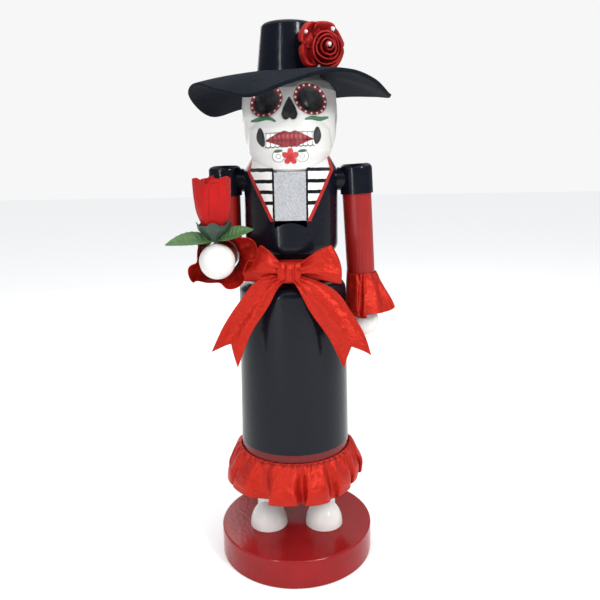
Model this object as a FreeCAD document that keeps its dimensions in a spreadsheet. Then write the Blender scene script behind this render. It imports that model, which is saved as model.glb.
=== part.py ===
"""A turned and lacquered wooden Catrina in the style of a nutcracker, with a rose in its right hand.

Millimetres, +Z up. The origin is the centre of the base's underside. The face looks towards -Y,
so the figure's left arm is at +X. The jaw lever in the chest turns on a cross pin along X.
"""

import FreeCAD, Part
import math
import os
import Sketcher
from types import SimpleNamespace

# Driving dimensions. Heights are above the floor unless the name says otherwise.
SIZES = {
    "base_radius": 53.0,
    "base_height": 20.0,
    "base_rounding": 1.2,
    "screw_radius": 1.6,
    "screw_head_radius": 3.4,
    "screw_length": 38.0,
    "leg_offset": 19.5,
    "leg_radius": 8.25,
    "tenon_radius": 4.0,
    "tenon_length": 14.0,
    "shoe_radius": 13.0,
    "shoe_height": 16.5,
    "shoe_forward": 7.0,
    "skirt_bottom": 66.0,
    "skirt_widest": 80.0,
    "skirt_top": 195.0,
    "skirt_hem_radius": 37.0,
    "skirt_top_radius": 35.2,
    "skirt_shoulder": 7.0,
    "hem_seam": 79.0,
    "hem_edge": 54.0,
    "hem_edge_radius": 50.5,
    "waist_radius": 23.6,
    "waist_dowel_radius": 8.0,
    "waist_dowel_top": 221.0,
    "ribbon_thick": 1.2,
    "torso_bottom": 211.0,
    "torso_shoulder": 264.5,
    "torso_top": 275.0,
    "torso_radius": 30.0,
    "torso_rounding": 8.0,
    "neck_radius": 24.0,
    "slot_half": 9.8,
    "slot_floor": 240.6,
    "lever_half": 9.5,
    "lever_front": 29.3,
    "block_bottom": 235.0,
    "block_top": 263.6,
    "facing_thick": 0.5,
    "pivot_back": 4.0,
    "pivot_height": 250.0,
    "pin_radius": 2.5,
    "running_gap": 0.05,
    "glue_gap": 0.05,
    "chin_bottom": 264.0,
    "chin_radius": 21.0,
    "jaw_forward": 9.0,
    "jaw_radius": 25.0,
    "cheek_radius": 30.7,
    "cheek_height": 297.0,
    "skull_top": 321.0,
    "skull_top_radius": 20.0,
    "felt_thick": 2.0,
    "crown_radius": 20.2,
    "crown_top_radius": 16.9,
    "crown_top": 351.5,
    "crown_dome": 2.0,
    "hat_dowel_radius": 4.0,
    "shoulder_offset": 42.0,
    "shoulder_height": 259.0,
    "cap_radius": 10.5,
    "cap_half": 9.4,
    "sleeve_radius": 9.3,
    "hand_radius": 10.3,
    "hand_drop": 93.8,
    "elbow_height": 214.5,
    "hand_reach": 54.0,
    "arm_dowel_radius": 3.0,
    "stem_radius": 1.3,
}
LEAN = 3.2  # degrees that the straight arm leans outwards
BIG = 120.0  # longer than anything that a cutting tool passes through

doc = FreeCAD.newDocument("catrina")
sheet = doc.addObject("Spreadsheet::Sheet", "Sizes")
subparts = []


class Size:
    """A length that is both a number and the sheet expression that gives it."""

    def __init__(self, value, text):
        self.value = value
        self.text = text

    def __add__(self, other):
        other = as_size(other)
        return Size(self.value + other.value, f"({self.text} + {other.text})")

    def __sub__(self, other):
        other = as_size(other)
        return Size(self.value - other.value, f"({self.text} - {other.text})")

    def __mul__(self, factor):
        return Size(self.value * factor, f"({self.text} * {factor})")

    def __neg__(self):
        return Size(-self.value, f"(0 - {self.text})")


def as_size(thing):
    if isinstance(thing, Size):
        return thing
    return Size(float(thing), f"{thing}")


def fill_sheet():
    """Writes the driving dimensions and returns them by name."""
    found = {}
    for row, (alias, value) in enumerate(SIZES.items(), 1):
        sheet.set(f"A{row}", alias)
        sheet.set(f"B{row}", f"{value}")
        sheet.setAlias(f"B{row}", alias)
        found[alias] = Size(value, f"Sizes.{alias}")
    doc.recompute()
    return SimpleNamespace(**found)


g = fill_sheet()


# ---- small tools ----


def bind(thing, path, size):
    """Ties one property of a thing to the sheet."""
    thing.setExpression(path, as_size(size).text)


def place(thing, x=0, y=0, z=0, axis=(0, 0, 1), angle=0):
    """Moves a thing to a point and turns it about that point."""
    where = [as_size(value) for value in (x, y, z)]
    turn = FreeCAD.Rotation(FreeCAD.Vector(*axis), angle)
    thing.Placement = FreeCAD.Placement(FreeCAD.Vector(*[size.value for size in where]), turn)
    for letter, size in zip("xyz", where):
        bind(thing, f"Placement.Base.{letter}", size)
    return thing


def primitive(kind, name, **sizes):
    thing = doc.addObject(f"Part::{kind}", name)
    for path, size in sizes.items():
        bind(thing, path, size)
    return thing


ALONG = {"x": ((0, 1, 0), 90), "y": ((1, 0, 0), 90), "z": ((0, 0, 1), 0)}


def rod(name, radius, length, x=0, y=0, z=0, along="z"):
    """A cylinder from a point: up, towards +X, or towards -Y for along="y"."""
    axis, angle = ALONG[along]
    thing = primitive("Cylinder", name, Radius=radius, Height=length)
    return place(thing, x, y, z, axis, angle)


def taper(name, low_radius, high_radius, length, x=0, y=0, z=0):
    thing = primitive("Cone", name, Radius1=low_radius, Radius2=high_radius, Height=length)
    return place(thing, x, y, z)


def block(name, low, high):
    """A box between two corners."""
    spans = [as_size(top) - bottom for bottom, top in zip(low, high)]
    thing = primitive("Box", name, Length=spans[0], Width=spans[1], Height=spans[2])
    return place(thing, *low)


def ball(name, radius, x=0, y=0, z=0):
    return place(primitive("Sphere", name, Radius=radius), x, y, z)


def joined(name, things):
    fuse = doc.addObject("Part::MultiFuse", name)
    fuse.Shapes = list(things)
    return fuse


def cut(name, base, *tools):
    """The base with every tool taken out of it."""
    result = doc.addObject("Part::Cut", name)
    result.Base = base
    result.Tool = tools[0] if len(tools) == 1 else joined(f"{name}_tools", tools)
    return result


def group(name, things):
    """Separate solids that are one node."""
    compound = doc.addObject("Part::Compound", name)
    compound.Links = list(things)
    return compound


def keep(label, thing):
    """Marks a finished sub-part under the name that its file gets."""
    thing.Label = label
    subparts.append(thing)
    return thing


def hold(sketch, corner, direction, size):
    """Fixes one coordinate of a sketch corner, from the sheet unless it is on an axis."""
    size = as_size(size)
    if abs(size.value) < 1e-9:
        on_axis = -2 if direction == "X" else -1
        sketch.addConstraint(Sketcher.Constraint("PointOnObject", corner, 1, on_axis))
        return
    rule = Sketcher.Constraint(f"Distance{direction}", -1, 1, corner, 1, size.value)
    index = sketch.addConstraint(rule)
    bind(sketch, f"Constraints[{index}]", size)


def outline(body, plane, points, start=0):
    """A closed outline of straight edges on one of the body's origin planes, moved off it by start."""
    sketch = body.newObject("Sketcher::SketchObject", f"{body.Name}_sketch")
    support = next(f for f in body.Origin.OriginFeatures if f.Role == plane)
    sketch.AttachmentSupport = [(support, "")]
    sketch.MapMode = "FlatFace"
    bind(sketch, "AttachmentOffset.Base.z", start)
    corners = [FreeCAD.Vector(as_size(a).value, as_size(b).value, 0) for a, b in points]
    for here, there in zip(corners, corners[1:] + corners[:1]):
        sketch.addGeometry(Part.LineSegment(here, there))
    count = len(points)
    for i in range(count):
        sketch.addConstraint(Sketcher.Constraint("Coincident", i, 2, (i + 1) % count, 1))
    for i, (a, b) in enumerate(points):
        hold(sketch, i, "X", a)
        hold(sketch, i, "Y", b)
    return sketch


def rim_edges(shape, radius, height):
    """The names of the circular edges of that radius at that height."""
    found = []
    for number, edge in enumerate(shape.Edges, 1):
        curve = edge.Curve
        if isinstance(curve, Part.Circle) and abs(curve.Radius - radius) < 0.01:
            if abs(curve.Center.z - height) < 0.01:
                found.append(f"Edge{number}")
    return found


def turned(name, points, rims=()):
    """A lathe-turned body: an outline of (radius, height) corners spun about +Z, with rounded rims."""
    body = doc.addObject("PartDesign::Body", name)
    sketch = outline(body, "XZ_Plane", points)
    last = body.newObject("PartDesign::Revolution", f"{name}_turning")
    last.Profile = sketch
    last.ReferenceAxis = (sketch, ["V_Axis"])
    last.Angle = 360
    doc.recompute()
    for radius, height, rounding in rims:
        fillet = body.newObject("PartDesign::Fillet", f"{name}_rim")
        fillet.Base = (last, rim_edges(last.Shape, as_size(radius).value, as_size(height).value))
        bind(fillet, "Radius", rounding)
        doc.recompute()
        last = fillet
    return body


def plate(name, plane, points, start, thick):
    """A straight-edged outline padded along its plane's normal: -Y for XZ, +X for YZ, +Z for XY."""
    body = doc.addObject("PartDesign::Body", name)
    sketch = outline(body, plane, points, start)
    pad = body.newObject("PartDesign::Pad", f"{name}_pad")
    pad.Profile = sketch
    bind(pad, "Length", thick)
    doc.recompute()
    return body


def softened(name, base, chosen, radius):
    """The base with those of its edges rounded that the test chooses."""
    doc.recompute()
    fillet = doc.addObject("Part::Fillet", name)
    fillet.Base = base
    numbers = [n for n, edge in enumerate(base.Shape.Edges, 1) if chosen(edge)]
    fillet.Edges = [(n, radius, radius) for n in numbers]
    return fillet


# ---- base, legs and shoes ----

COUNTERSINK = 2.4
SCREW_RECESS = 0.4
DRIVER_SLOT = 0.8


def make_base():
    """A round lacquered disc with a countersunk hole under each leg."""
    disc = turned(
        "base_blank",
        [(0, 0), (g.base_radius, 0), (g.base_radius, g.base_height), (0, g.base_height)],
        [
            (g.base_radius, g.base_height, g.base_rounding),
            (g.base_radius, 0, g.base_rounding * 0.5),
        ],
    )
    holes = []
    for side, x in (("right", -g.leg_offset), ("left", g.leg_offset)):
        radius = g.screw_radius + g.glue_gap
        holes.append(rod(f"base_hole_{side}", radius, g.base_height, x))
        holes.append(taper(f"base_sink_{side}", g.screw_head_radius + 0.6, radius, COUNTERSINK, x))
    keep("base_disc", cut("base_cut", disc, *holes))


def make_screw(side, x):
    """A countersunk wood screw with a straight driver slot."""
    low = as_size(SCREW_RECESS)
    head = taper(f"screw_head_{side}", g.screw_head_radius, g.screw_radius, 2.0, x, 0, low)
    shank = rod(f"screw_shank_{side}", g.screw_radius, g.screw_length, x, 0, low)
    whole = joined(f"screw_whole_{side}", [head, shank])
    reach = g.screw_head_radius + 1
    slot = block(
        f"screw_slot_{side}",
        (x - reach, -DRIVER_SLOT / 2, low),
        (x + reach, DRIVER_SLOT / 2, low + DRIVER_SLOT),
    )
    return cut(f"screw_{side}", whole, slot)


def make_leg(side, x):
    """A round post with a tenon at its top and a pilot hole at its foot."""
    shoulder = g.skirt_bottom
    post = turned(
        f"leg_blank_{side}",
        [
            (0, g.base_height),
            (g.leg_radius, g.base_height),
            (g.leg_radius, shoulder),
            (g.tenon_radius, shoulder),
            (g.tenon_radius, shoulder + g.tenon_length),
            (0, shoulder + g.tenon_length),
        ],
    )
    place(post, x)
    pilot_top = g.screw_length - g.base_height + SCREW_RECESS + 1
    pilot = rod(f"leg_pilot_{side}", g.screw_radius + g.glue_gap, pilot_top, x, 0, g.base_height)
    keep(f"leg_{side}", cut(f"leg_cut_{side}", post, pilot))


def make_shoe(side, x):
    """A white half-egg, scooped at its back to fit round the leg."""
    egg = primitive(
        "Ellipsoid",
        f"shoe_egg_{side}",
        Radius1=g.shoe_height,
        Radius2=g.shoe_radius,
        Radius3=g.shoe_radius,
    )
    egg.Angle1 = 0
    place(egg, x, -g.shoe_forward, g.base_height)
    scoop = rod(
        f"shoe_scoop_{side}", g.leg_radius + g.glue_gap, g.shoe_height + 2, x, 0, g.base_height
    )
    keep(f"shoe_{side}", cut(f"shoe_cut_{side}", egg, scoop))


def make_legs():
    screws = []
    for side, x in (("right", -g.leg_offset), ("left", g.leg_offset)):
        screws.append(make_screw(side, x))
        make_leg(side, x)
        make_shoe(side, x)
    keep("base_screws", group("screws", screws))


# ---- skirt and waist ----


def make_skirt():
    """A solid turned cylinder that widens to the hem, with sockets for the legs and the waist dowel."""
    blank = turned(
        "skirt_blank",
        [
            (0, g.skirt_bottom),
            (g.skirt_hem_radius - 0.5, g.skirt_bottom),
            (g.skirt_hem_radius, g.skirt_widest),
            (g.skirt_top_radius, g.skirt_top),
            (0, g.skirt_top),
        ],
        [(g.skirt_top_radius, g.skirt_top, g.skirt_shoulder)],
    )
    sockets = [
        rod(f"skirt_socket_{side}", g.tenon_radius + g.glue_gap, g.tenon_length + 1, x, 0, g.skirt_bottom)
        for side, x in (("right", -g.leg_offset), ("left", g.leg_offset))
    ]
    depth = g.waist_dowel_top - g.torso_bottom + 5
    top = rod("skirt_top_socket", g.waist_dowel_radius + g.glue_gap, depth + 1, 0, 0, g.skirt_top - depth)
    keep("skirt", cut("skirt_cut", blank, *sockets, top))


def make_hem_ruffle():
    """The outer shape of the gathered satin ruffle round the hem: a flaring skirt of its own."""
    inner = g.skirt_hem_radius + 0.1
    keep(
        "hem_ruffle",
        turned(
            "hem_ruffle_body",
            [
                (inner, g.hem_seam),
                (inner, g.skirt_bottom),
                (g.hem_edge_radius - 6.5, g.hem_edge),
                (g.hem_edge_radius, g.hem_edge),
                (g.hem_edge_radius - 5.5, g.skirt_bottom + 5),
                (inner + 1.6, g.hem_seam),
            ],
        ),
    )


def make_waist():
    """A disc on a long dowel that joins the skirt to the torso, with a satin band round it."""
    radius = g.waist_dowel_radius + g.glue_gap
    keep(
        "waist_block",
        turned(
            "waist_block_body",
            [
                (radius, g.skirt_top),
                (g.waist_radius, g.skirt_top),
                (g.waist_radius, g.torso_bottom),
                (radius, g.torso_bottom),
            ],
        ),
    )
    low = g.skirt_top - (g.waist_dowel_top - g.torso_bottom + 5)
    keep("waist_dowel", rod("waist_rod", g.waist_dowel_radius, g.waist_dowel_top - low, 0, 0, low))
    inner = g.waist_radius + 0.1
    keep(
        "waist_ribbon",
        turned(
            "waist_ribbon_body",
            [
                (inner, g.skirt_top + 1),
                (inner + g.ribbon_thick, g.skirt_top + 1),
                (inner + g.ribbon_thick, g.torso_bottom - 1),
                (inner, g.torso_bottom - 1),
            ],
        ),
    )


# Outlines of the bow, as (x, z) corners. Each side is its own because the bow is tied by hand.
LOOPS = {
    "right": [(-7.6, 198.5), (-7.6, 209.5), (-19.5, 221.5), (-27.0, 217.0), (-31.0, 197.0), (-22.0, 196.2)],
    "left": [(7.6, 198.5), (22.0, 196.2), (30.5, 196.2), (31.5, 210.0), (24.5, 221.0), (7.6, 209.5)],
}
TAILS = {
    "right": [(-0.4, 197.2), (-7.6, 197.2), (-50.0, 154.0), (-38.0, 159.0), (-34.5, 145.5)],
    "left": [(0.4, 197.2), (32.5, 141.0), (37.0, 156.5), (48.0, 152.0), (7.6, 197.2)],
}
LOOP_DEPTH = 8.0
BOW_FRONT = 38.6


def make_bow():
    """Knot, two loops and two swallow-tailed ends, all in front of the torso and skirt."""
    back = g.waist_radius + 0.1 + g.ribbon_thick
    knot = block("knot_block", (-7.5, -BOW_FRONT, g.skirt_top + 2.5), (7.5, -back, g.torso_bottom - 0.6))
    keep("bow_knot", softened("knot_soft", knot, lambda edge: edge.BoundBox.YMax < -30, 2.5))
    for side in ("right", "left"):
        loop = plate(f"loop_{side}", "XZ_Plane", LOOPS[side], g.torso_radius + 0.4, LOOP_DEPTH)
        keep(f"bow_loop_{side}", loop)
        start = g.skirt_hem_radius + 0.4
        keep(f"bow_tail_{side}", plate(f"tail_{side}", "XZ_Plane", TAILS[side], start, g.ribbon_thick))


# ---- torso and the jaw lever ----

SWING = 25.0  # degrees that the lever opens
ARC_GAP = 0.8  # between the block's corner and the slot's curved front wall
SLOT_STEP = (-3.5, 231.0)  # where the slot's floor starts to rise behind the block
SLOT_BACK = 6.5  # where the floor levels out
ABOVE_ALL = 360.0  # higher than anything that the slot opens into


def torso_outline():
    return [
        (0, g.torso_bottom),
        (g.torso_radius, g.torso_bottom),
        (g.torso_radius, g.torso_shoulder),
        (g.neck_radius, g.torso_top),
        (0, g.torso_top),
    ]


def make_slot():
    """The slot that the lever swings in: deep at the front, where its block drops, and open behind."""
    reach = g.lever_front + g.facing_thick + g.pivot_back
    fall = g.pivot_height - g.block_bottom
    arc_radius = math.hypot(reach.value, fall.value) + ARC_GAP
    swung = math.atan2(fall.value, reach.value) + math.radians(SWING + 1.5)
    low_y = g.pivot_back.value - arc_radius * math.cos(swung)
    low_z = g.pivot_height.value - arc_radius * math.sin(swung)
    deep = [
        (-BIG, low_z),
        (low_y, low_z),
        SLOT_STEP,
        (SLOT_BACK, g.slot_floor),
        (SLOT_BACK, ABOVE_ALL),
        (-BIG, ABOVE_ALL),
    ]
    front = plate("slot_front", "YZ_Plane", deep, -g.slot_half, g.slot_half * 2)
    round_wall = primitive("Cylinder", "slot_round", Radius=arc_radius, Height=g.slot_half * 2)
    place(round_wall, -g.slot_half, g.pivot_back, g.pivot_height, *ALONG["x"])
    above = block(
        "slot_above",
        (-g.slot_half, -BIG, g.pivot_height - 4),
        (g.slot_half, 0, g.torso_top + 10),
    )
    swept = doc.addObject("Part::Common", "slot_swept")
    swept.Base = front
    swept.Tool = joined("slot_reach", [round_wall, above])
    rear = block(
        "slot_rear",
        (-g.slot_half, 6, g.slot_floor),
        (g.slot_half, BIG, g.torso_top + 10),
    )
    return joined("slot", [swept, rear])


def make_torso():
    """A turned barrel with a sloping neck, slotted from front to back for the lever."""
    blank = turned(
        "torso_blank", torso_outline(), [(g.torso_radius, g.torso_bottom, g.torso_rounding)]
    )
    socket = rod(
        "torso_socket",
        g.waist_dowel_radius + g.glue_gap,
        g.waist_dowel_top - g.torso_bottom + 1,
        0,
        0,
        g.torso_bottom,
    )
    pin_hole = rod(
        "pin_hole", g.pin_radius, g.torso_radius + 22, -22, g.pivot_back, g.pivot_height, along="x"
    )
    tools = [make_slot(), socket, pin_hole]
    for side, sign in (("right", -1), ("left", 1)):
        tools.append(shoulder_socket(side, sign))
        tools.append(
            rod(f"skull_socket_{side}", g.arm_dowel_radius + g.glue_gap, 12, 16.5 * sign, 0, 265)
        )
    keep("torso", cut("torso_cut", blank, *tools))
    keep(
        "lever_pin",
        rod("lever_pin_rod", g.pin_radius, 50.5, -22, g.pivot_back, g.pivot_height, along="x"),
    )


def make_lever():
    """The bent wooden lever: block in the chest, cross bore, and a handle down the back."""
    front = -g.lever_front
    side_view = [
        (front, g.block_bottom),
        (front, g.block_top),
        (-12, g.block_top),
        (-2, 259),
        (10, 258.5),
        (36, 257),
        (43.5, 252),
        (46.5, 238),
        (44.5, 200),
        (47.5, 170),
        (45, 164.5),
        (41.5, 164.5),
        (39, 170),
        (39.2, 200),
        (39.6, 232),
        (36, g.slot_floor + 0.4),
        (6.5, g.slot_floor + 0.4),
        (0, g.slot_floor + 1),
        (-12, g.block_bottom + 3),
    ]
    blank = plate("lever_blank", "YZ_Plane", side_view, -g.lever_half, g.lever_half * 2)
    bore = rod(
        "lever_bore",
        g.pin_radius + g.running_gap,
        g.lever_half * 2,
        -g.lever_half,
        g.pivot_back,
        g.pivot_height,
        along="x",
    )
    bored = cut("lever_bored", blank, bore)
    keep("lever", softened("lever_soft", bored, is_handle_edge, 1.5))
    keep(
        "bib_facing",
        block(
            "facing",
            (-g.lever_half, front - g.facing_thick, g.block_bottom),
            (g.lever_half, front, g.block_top),
        ),
    )


def is_handle_edge(edge):
    """The long edges of the handle, behind the torso."""
    box = edge.BoundBox
    return box.YMin > 38 and box.XLength < 0.01


# ---- skull and hat ----


def make_skull():
    """Cranium and jaw over the torso's neck, with a chin that the lever's block closes against."""
    cranium = turned(
        "cranium",
        [
            (0, g.torso_top),
            (g.neck_radius, g.torso_top),
            (g.cheek_radius - 3, g.cheek_height - 12),
            (g.cheek_radius, g.cheek_height),
            (g.cheek_radius - 1.2, g.cheek_height + 9),
            (g.cheek_radius - 1.6, g.cheek_height + 15),
            (g.skull_top_radius + 5.5, g.skull_top - 4),
            (g.skull_top_radius, g.skull_top),
            (0, g.skull_top),
        ],
        [(g.cheek_radius, g.cheek_height, 12)],
    )
    jaw = turned(
        "jaw",
        [
            (0, g.chin_bottom),
            (g.chin_radius - 2, g.chin_bottom),
            (g.chin_radius, g.chin_bottom + 1.5),
            (g.chin_radius + 0.6, g.chin_bottom + 6),
            (g.jaw_radius - 0.5, g.chin_bottom + 12),
            (g.jaw_radius, g.cheek_height - 8),
            (g.jaw_radius - 4, g.cheek_height + 3),
            (g.jaw_radius - 12, g.cheek_height + 10),
            (0, g.cheek_height + 10),
        ],
    )
    place(jaw, 0, -g.jaw_forward, 0)
    neck = turned("neck_form", torso_outline())
    notch = block(
        "chin_notch", (-g.slot_half, -BIG, g.chin_bottom), (g.slot_half, -14, g.torso_top)
    )
    seat = cut("neck_seat", neck, notch)
    sockets = [
        rod(f"skull_hole_{side}", g.arm_dowel_radius + g.glue_gap, 11, 16.5 * sign, 0, g.torso_top)
        for side, sign in (("right", -1), ("left", 1))
    ]
    top = rod("skull_top_hole", g.hat_dowel_radius + g.glue_gap, 13, 0, 0, g.skull_top - 12)
    keep("skull", cut("skull_cut", joined("head", [cranium, jaw]), seat, *sockets, top))
    dowels = [
        rod(f"skull_dowel_{side}", g.arm_dowel_radius, 20, 16.5 * sign, 0, 265.5)
        for side, sign in (("right", -1), ("left", 1))
    ]
    keep("skull_dowels", group("skull_dowel_pair", dowels))


# The rim of the floppy felt brim, as (degrees from +X, radius, height of its upper side).
BRIM_RIM = [
    (0, 63.0, 310.0),
    (25, 62.0, 313.5),
    (50, 61.0, 316.0),
    (90, 60.0, 313.0),
    (125, 59.0, 309.0),
    (150, 61.0, 302.5),
    (178, 62.5, 311.0),
    (206, 60.0, 315.5),
    (230, 59.5, 309.5),
    (250, 59.5, 305.5),
    (270, 59.5, 311.5),
    (288, 59.5, 317.0),
    (305, 60.0, 318.5),
    (322, 61.5, 315.0),
    (340, 62.5, 309.3),
]


def ring(radii_heights):
    """A closed smooth edge through one point at each of the rim's angles."""
    points = []
    for (degrees, _, _), (radius, height) in zip(BRIM_RIM, radii_heights):
        angle = math.radians(degrees)
        points.append(FreeCAD.Vector(radius * math.cos(angle), radius * math.sin(angle), height))
    curve = Part.BSplineCurve()
    curve.interpolate(Points=points, PeriodicFlag=True)
    return curve.toShape()


def make_brim():
    """A felt disc, flat under the crown and wavy outside it."""
    thick = g.felt_thick.value
    seat = g.skull_top.value
    hole = g.hat_dowel_radius.value + g.glue_gap.value
    flat = g.crown_radius.value + 1
    count = len(BRIM_RIM)
    upper_rim = [(radius, height) for _, radius, height in BRIM_RIM]
    lower_rim = [(radius, height - thick) for _, radius, height in BRIM_RIM]
    rings = [
        ring([(hole, seat)] * count),
        ring([(flat, seat)] * count),
        ring(lower_rim),
        ring(upper_rim),
        ring([(flat, seat + thick)] * count),
        ring([(hole, seat + thick)] * count),
    ]
    faces = [Part.makeRuledSurface(a, b) for a, b in zip(rings, rings[1:] + rings[:1])]
    shell = Part.makeShell(faces)
    shell.sewShape()
    solid = Part.makeSolid(shell)
    if solid.Volume < 0:
        solid.reverse()
    felt = doc.addObject("Part::Feature", "felt")
    felt.Shape = solid
    keep("hat_brim", felt)


ROSE_FACING = -66.0  # degrees from +X that the hat's rose looks towards
ROSE_CENTRE = (20.9, -18.0, 335.8)
ROSE_RADIUS = 12.6
COIL_RADIUS = 10.6


def rose_disc(name, radius, low, high):
    """A disc of the hat's rose, between two distances along the way that it faces."""
    facing = math.radians(ROSE_FACING)
    direction = FreeCAD.Vector(math.cos(facing), math.sin(facing), 0)
    centre = FreeCAD.Vector(*ROSE_CENTRE) + direction * low
    disc = primitive("Cylinder", name, Radius=radius, Height=high - low)
    turn = FreeCAD.Rotation(FreeCAD.Vector(0, 0, 1), direction)
    disc.Placement = FreeCAD.Placement(centre, turn)
    return disc


def make_gem(number, across, up, out):
    """A small round rhinestone on the rose."""
    facing = math.radians(ROSE_FACING)
    direction = FreeCAD.Vector(math.cos(facing), math.sin(facing), 0)
    sideways = FreeCAD.Vector(-math.sin(facing), math.cos(facing), 0)
    centre = FreeCAD.Vector(*ROSE_CENTRE) + direction * out + sideways * across
    gem = primitive("Cone", f"gem_{number}", Radius1=1.4, Radius2=0.7, Height=1.1)
    turn = FreeCAD.Rotation(FreeCAD.Vector(0, 0, 1), direction)
    gem.Placement = FreeCAD.Placement(centre + FreeCAD.Vector(0, 0, up), turn)
    return gem


def make_hat():
    """Turned crown on a dowel through the felt brim, with a ribbon rose at its front left."""
    seat = g.skull_top + g.felt_thick
    crown = turned(
        "crown_blank",
        [
            (0, seat),
            (g.crown_radius, seat),
            (g.crown_top_radius, g.crown_top),
            (0, g.crown_top + g.crown_dome),
        ],
        [(g.crown_top_radius, g.crown_top, 2.5)],
    )
    socket = rod("crown_socket", g.hat_dowel_radius + g.glue_gap, 13, 0, 0, seat)
    keep("hat_crown", cut("crown_cut", crown, socket))
    keep("hat_dowel", rod("hat_dowel_rod", g.hat_dowel_radius, 25, 0, 0, g.skull_top - 11))
    make_brim()
    petals = rose_disc("petal_disc", ROSE_RADIUS, -10, 1)
    clear = turned(
        "crown_form",
        [
            (0, seat - 10),
            (g.crown_radius + 1, seat - 10),
            (g.crown_radius + 0.1, seat),
            (g.crown_top_radius + 0.1, g.crown_top + 2),
            (0, g.crown_top + 2),
        ],
    )
    keep("hat_rose_petals", cut("petals_cut", petals, clear))
    keep("hat_rose_coil", rose_disc("coil_disc", COIL_RADIUS, 1, 7))
    gems = [
        make_gem(1, -10.9, 8.0, 1),
        make_gem(2, 10.4, 6.6, 1),
        make_gem(3, 0, 0, 7),
        make_gem(4, -5.0, -11.0, 1),
    ]
    keep("hat_rose_gems", group("gems", gems))


# ---- arms ----


def shoulder_socket(side, sign):
    """The hole in the torso for a shoulder dowel."""
    start = 20 if sign > 0 else -g.shoulder_offset
    radius = g.arm_dowel_radius + g.glue_gap
    return rod(
        f"torso_arm_hole_{side}", radius, g.shoulder_offset - 20, start, 0, g.shoulder_height, along="x"
    )


def leaned(thing, side):
    """Puts a piece that was made about the shoulder's centre in its place on that arm."""
    if side == "left":
        return place(thing, g.shoulder_offset, 0, g.shoulder_height, (0, 1, 0), -LEAN)
    return place(thing, -g.shoulder_offset, 0, g.shoulder_height)


def make_shoulder(side, sign):
    """Domed cap, trimmed spacer and the dowels that hold the arm on."""
    cap = turned(
        f"cap_blank_{side}",
        [(0, -g.cap_half), (g.cap_radius, -g.cap_half), (g.cap_radius, g.cap_half), (0, g.cap_half)],
        [(g.cap_radius, g.cap_half, 3.5)],
    )
    leaned(cap, side)
    start = 20 if sign > 0 else -g.shoulder_offset + 1
    dowel = rod(
        f"shoulder_rod_{side}",
        g.arm_dowel_radius,
        g.shoulder_offset - 21,
        start,
        0,
        g.shoulder_height,
        along="x",
    )
    down = leaned(arm_rod(side, "arm_dowel_rod", g.arm_dowel_radius, -22, -5), side)
    down_hole = leaned(arm_rod(side, "cap_down_hole", g.arm_dowel_radius + g.glue_gap, -22, -4.5), side)
    across_start = 24 if sign > 0 else -g.shoulder_offset
    across = rod(
        f"cap_across_{side}",
        g.arm_dowel_radius + g.glue_gap,
        g.shoulder_offset - 24,
        across_start,
        0,
        g.shoulder_height,
        along="x",
    )
    keep(f"shoulder_cap_{side}", cut(f"cap_cut_{side}", cap, across, down_hole))
    washer_start = 27.5 if sign > 0 else -37.5
    washer = rod(f"washer_{side}", 7.3, 10, washer_start, 0, g.shoulder_height, along="x")
    barrel = rod(f"barrel_form_{side}", g.torso_radius, 60, 0, 0, 230)
    cap_form = leaned(arm_rod(side, "cap_form", g.cap_radius, -20, 20), side)
    keep(f"shoulder_spacer_{side}", cut(f"washer_cut_{side}", washer, barrel, cap_form, across))
    return dowel, down


def arm_rod(side, name, radius, low, high):
    """A rod about the shoulder's own upright axis, wrapped so that the arm can lean as one."""
    thing = primitive("Cylinder", f"{name}_core_{side}", Radius=radius, Height=high - low)
    place(thing, 0, 0, low)
    return group(f"{name}_{side}", [thing])


def make_straight_arm():
    """The arm that hangs at the figure's left side."""
    end = -g.hand_drop + g.hand_radius - 2
    sleeve = turned(
        "sleeve_blank",
        [(0, end), (g.sleeve_radius - 0.3, end), (g.sleeve_radius, -g.cap_half), (0, -g.cap_half)],
    )
    leaned(sleeve, "left")
    hollow = leaned(palm_form("wrist_hollow"), "left")
    hole_radius = g.arm_dowel_radius + g.glue_gap
    top_hole = leaned(arm_rod("left", "sleeve_top_hole", hole_radius, -23, -9), "left")
    low_hole = leaned(arm_rod("left", "sleeve_low_hole", hole_radius, -96, -72), "left")
    keep("sleeve_left", cut("sleeve_cut", sleeve, hollow, top_hole, low_hole))
    palm = leaned(palm_form("palm_left"), "left")
    keep("hand_left", cut("hand_left_cut", palm, low_hole))
    cuff = turned(
        "cuff_left_body",
        [
            (g.sleeve_radius + 0.2, -61),
            (g.sleeve_radius + 0.2, -74),
            (13.0, -86),
            (19.8, -85),
            (15.5, -75),
            (g.sleeve_radius + 1.8, -61),
        ],
    )
    skirt_room = rod("skirt_room", g.skirt_top_radius + 0.8, 60, 0, 0, 150)
    keep("cuff_left", cut("cuff_left_cut", leaned(cuff, "left"), skirt_room))
    return leaned(arm_rod("left", "hand_dowel", g.arm_dowel_radius, -95.5, -72.5), "left")


def palm_form(name):
    """The hand's ball, hanging under the shoulder's centre."""
    return group(name, [ball(f"{name}_ball", g.hand_radius, 0, 0, -g.hand_drop)])


def mitre_tool(name, low):
    """A block on one side of the elbow's 45 degree mitre plane, from low across it."""
    tool = primitive("Box", name, Length=BIG, Width=BIG, Height=BIG)
    turn = FreeCAD.Rotation(FreeCAD.Vector(1, 0, 0), 45)
    elbow = FreeCAD.Vector(-g.shoulder_offset.value, 0, g.elbow_height.value)
    corner = turn.multVec(FreeCAD.Vector(-BIG / 2, low, -BIG / 2))
    tool.Placement = FreeCAD.Placement(elbow + corner, turn)
    return tool


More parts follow.
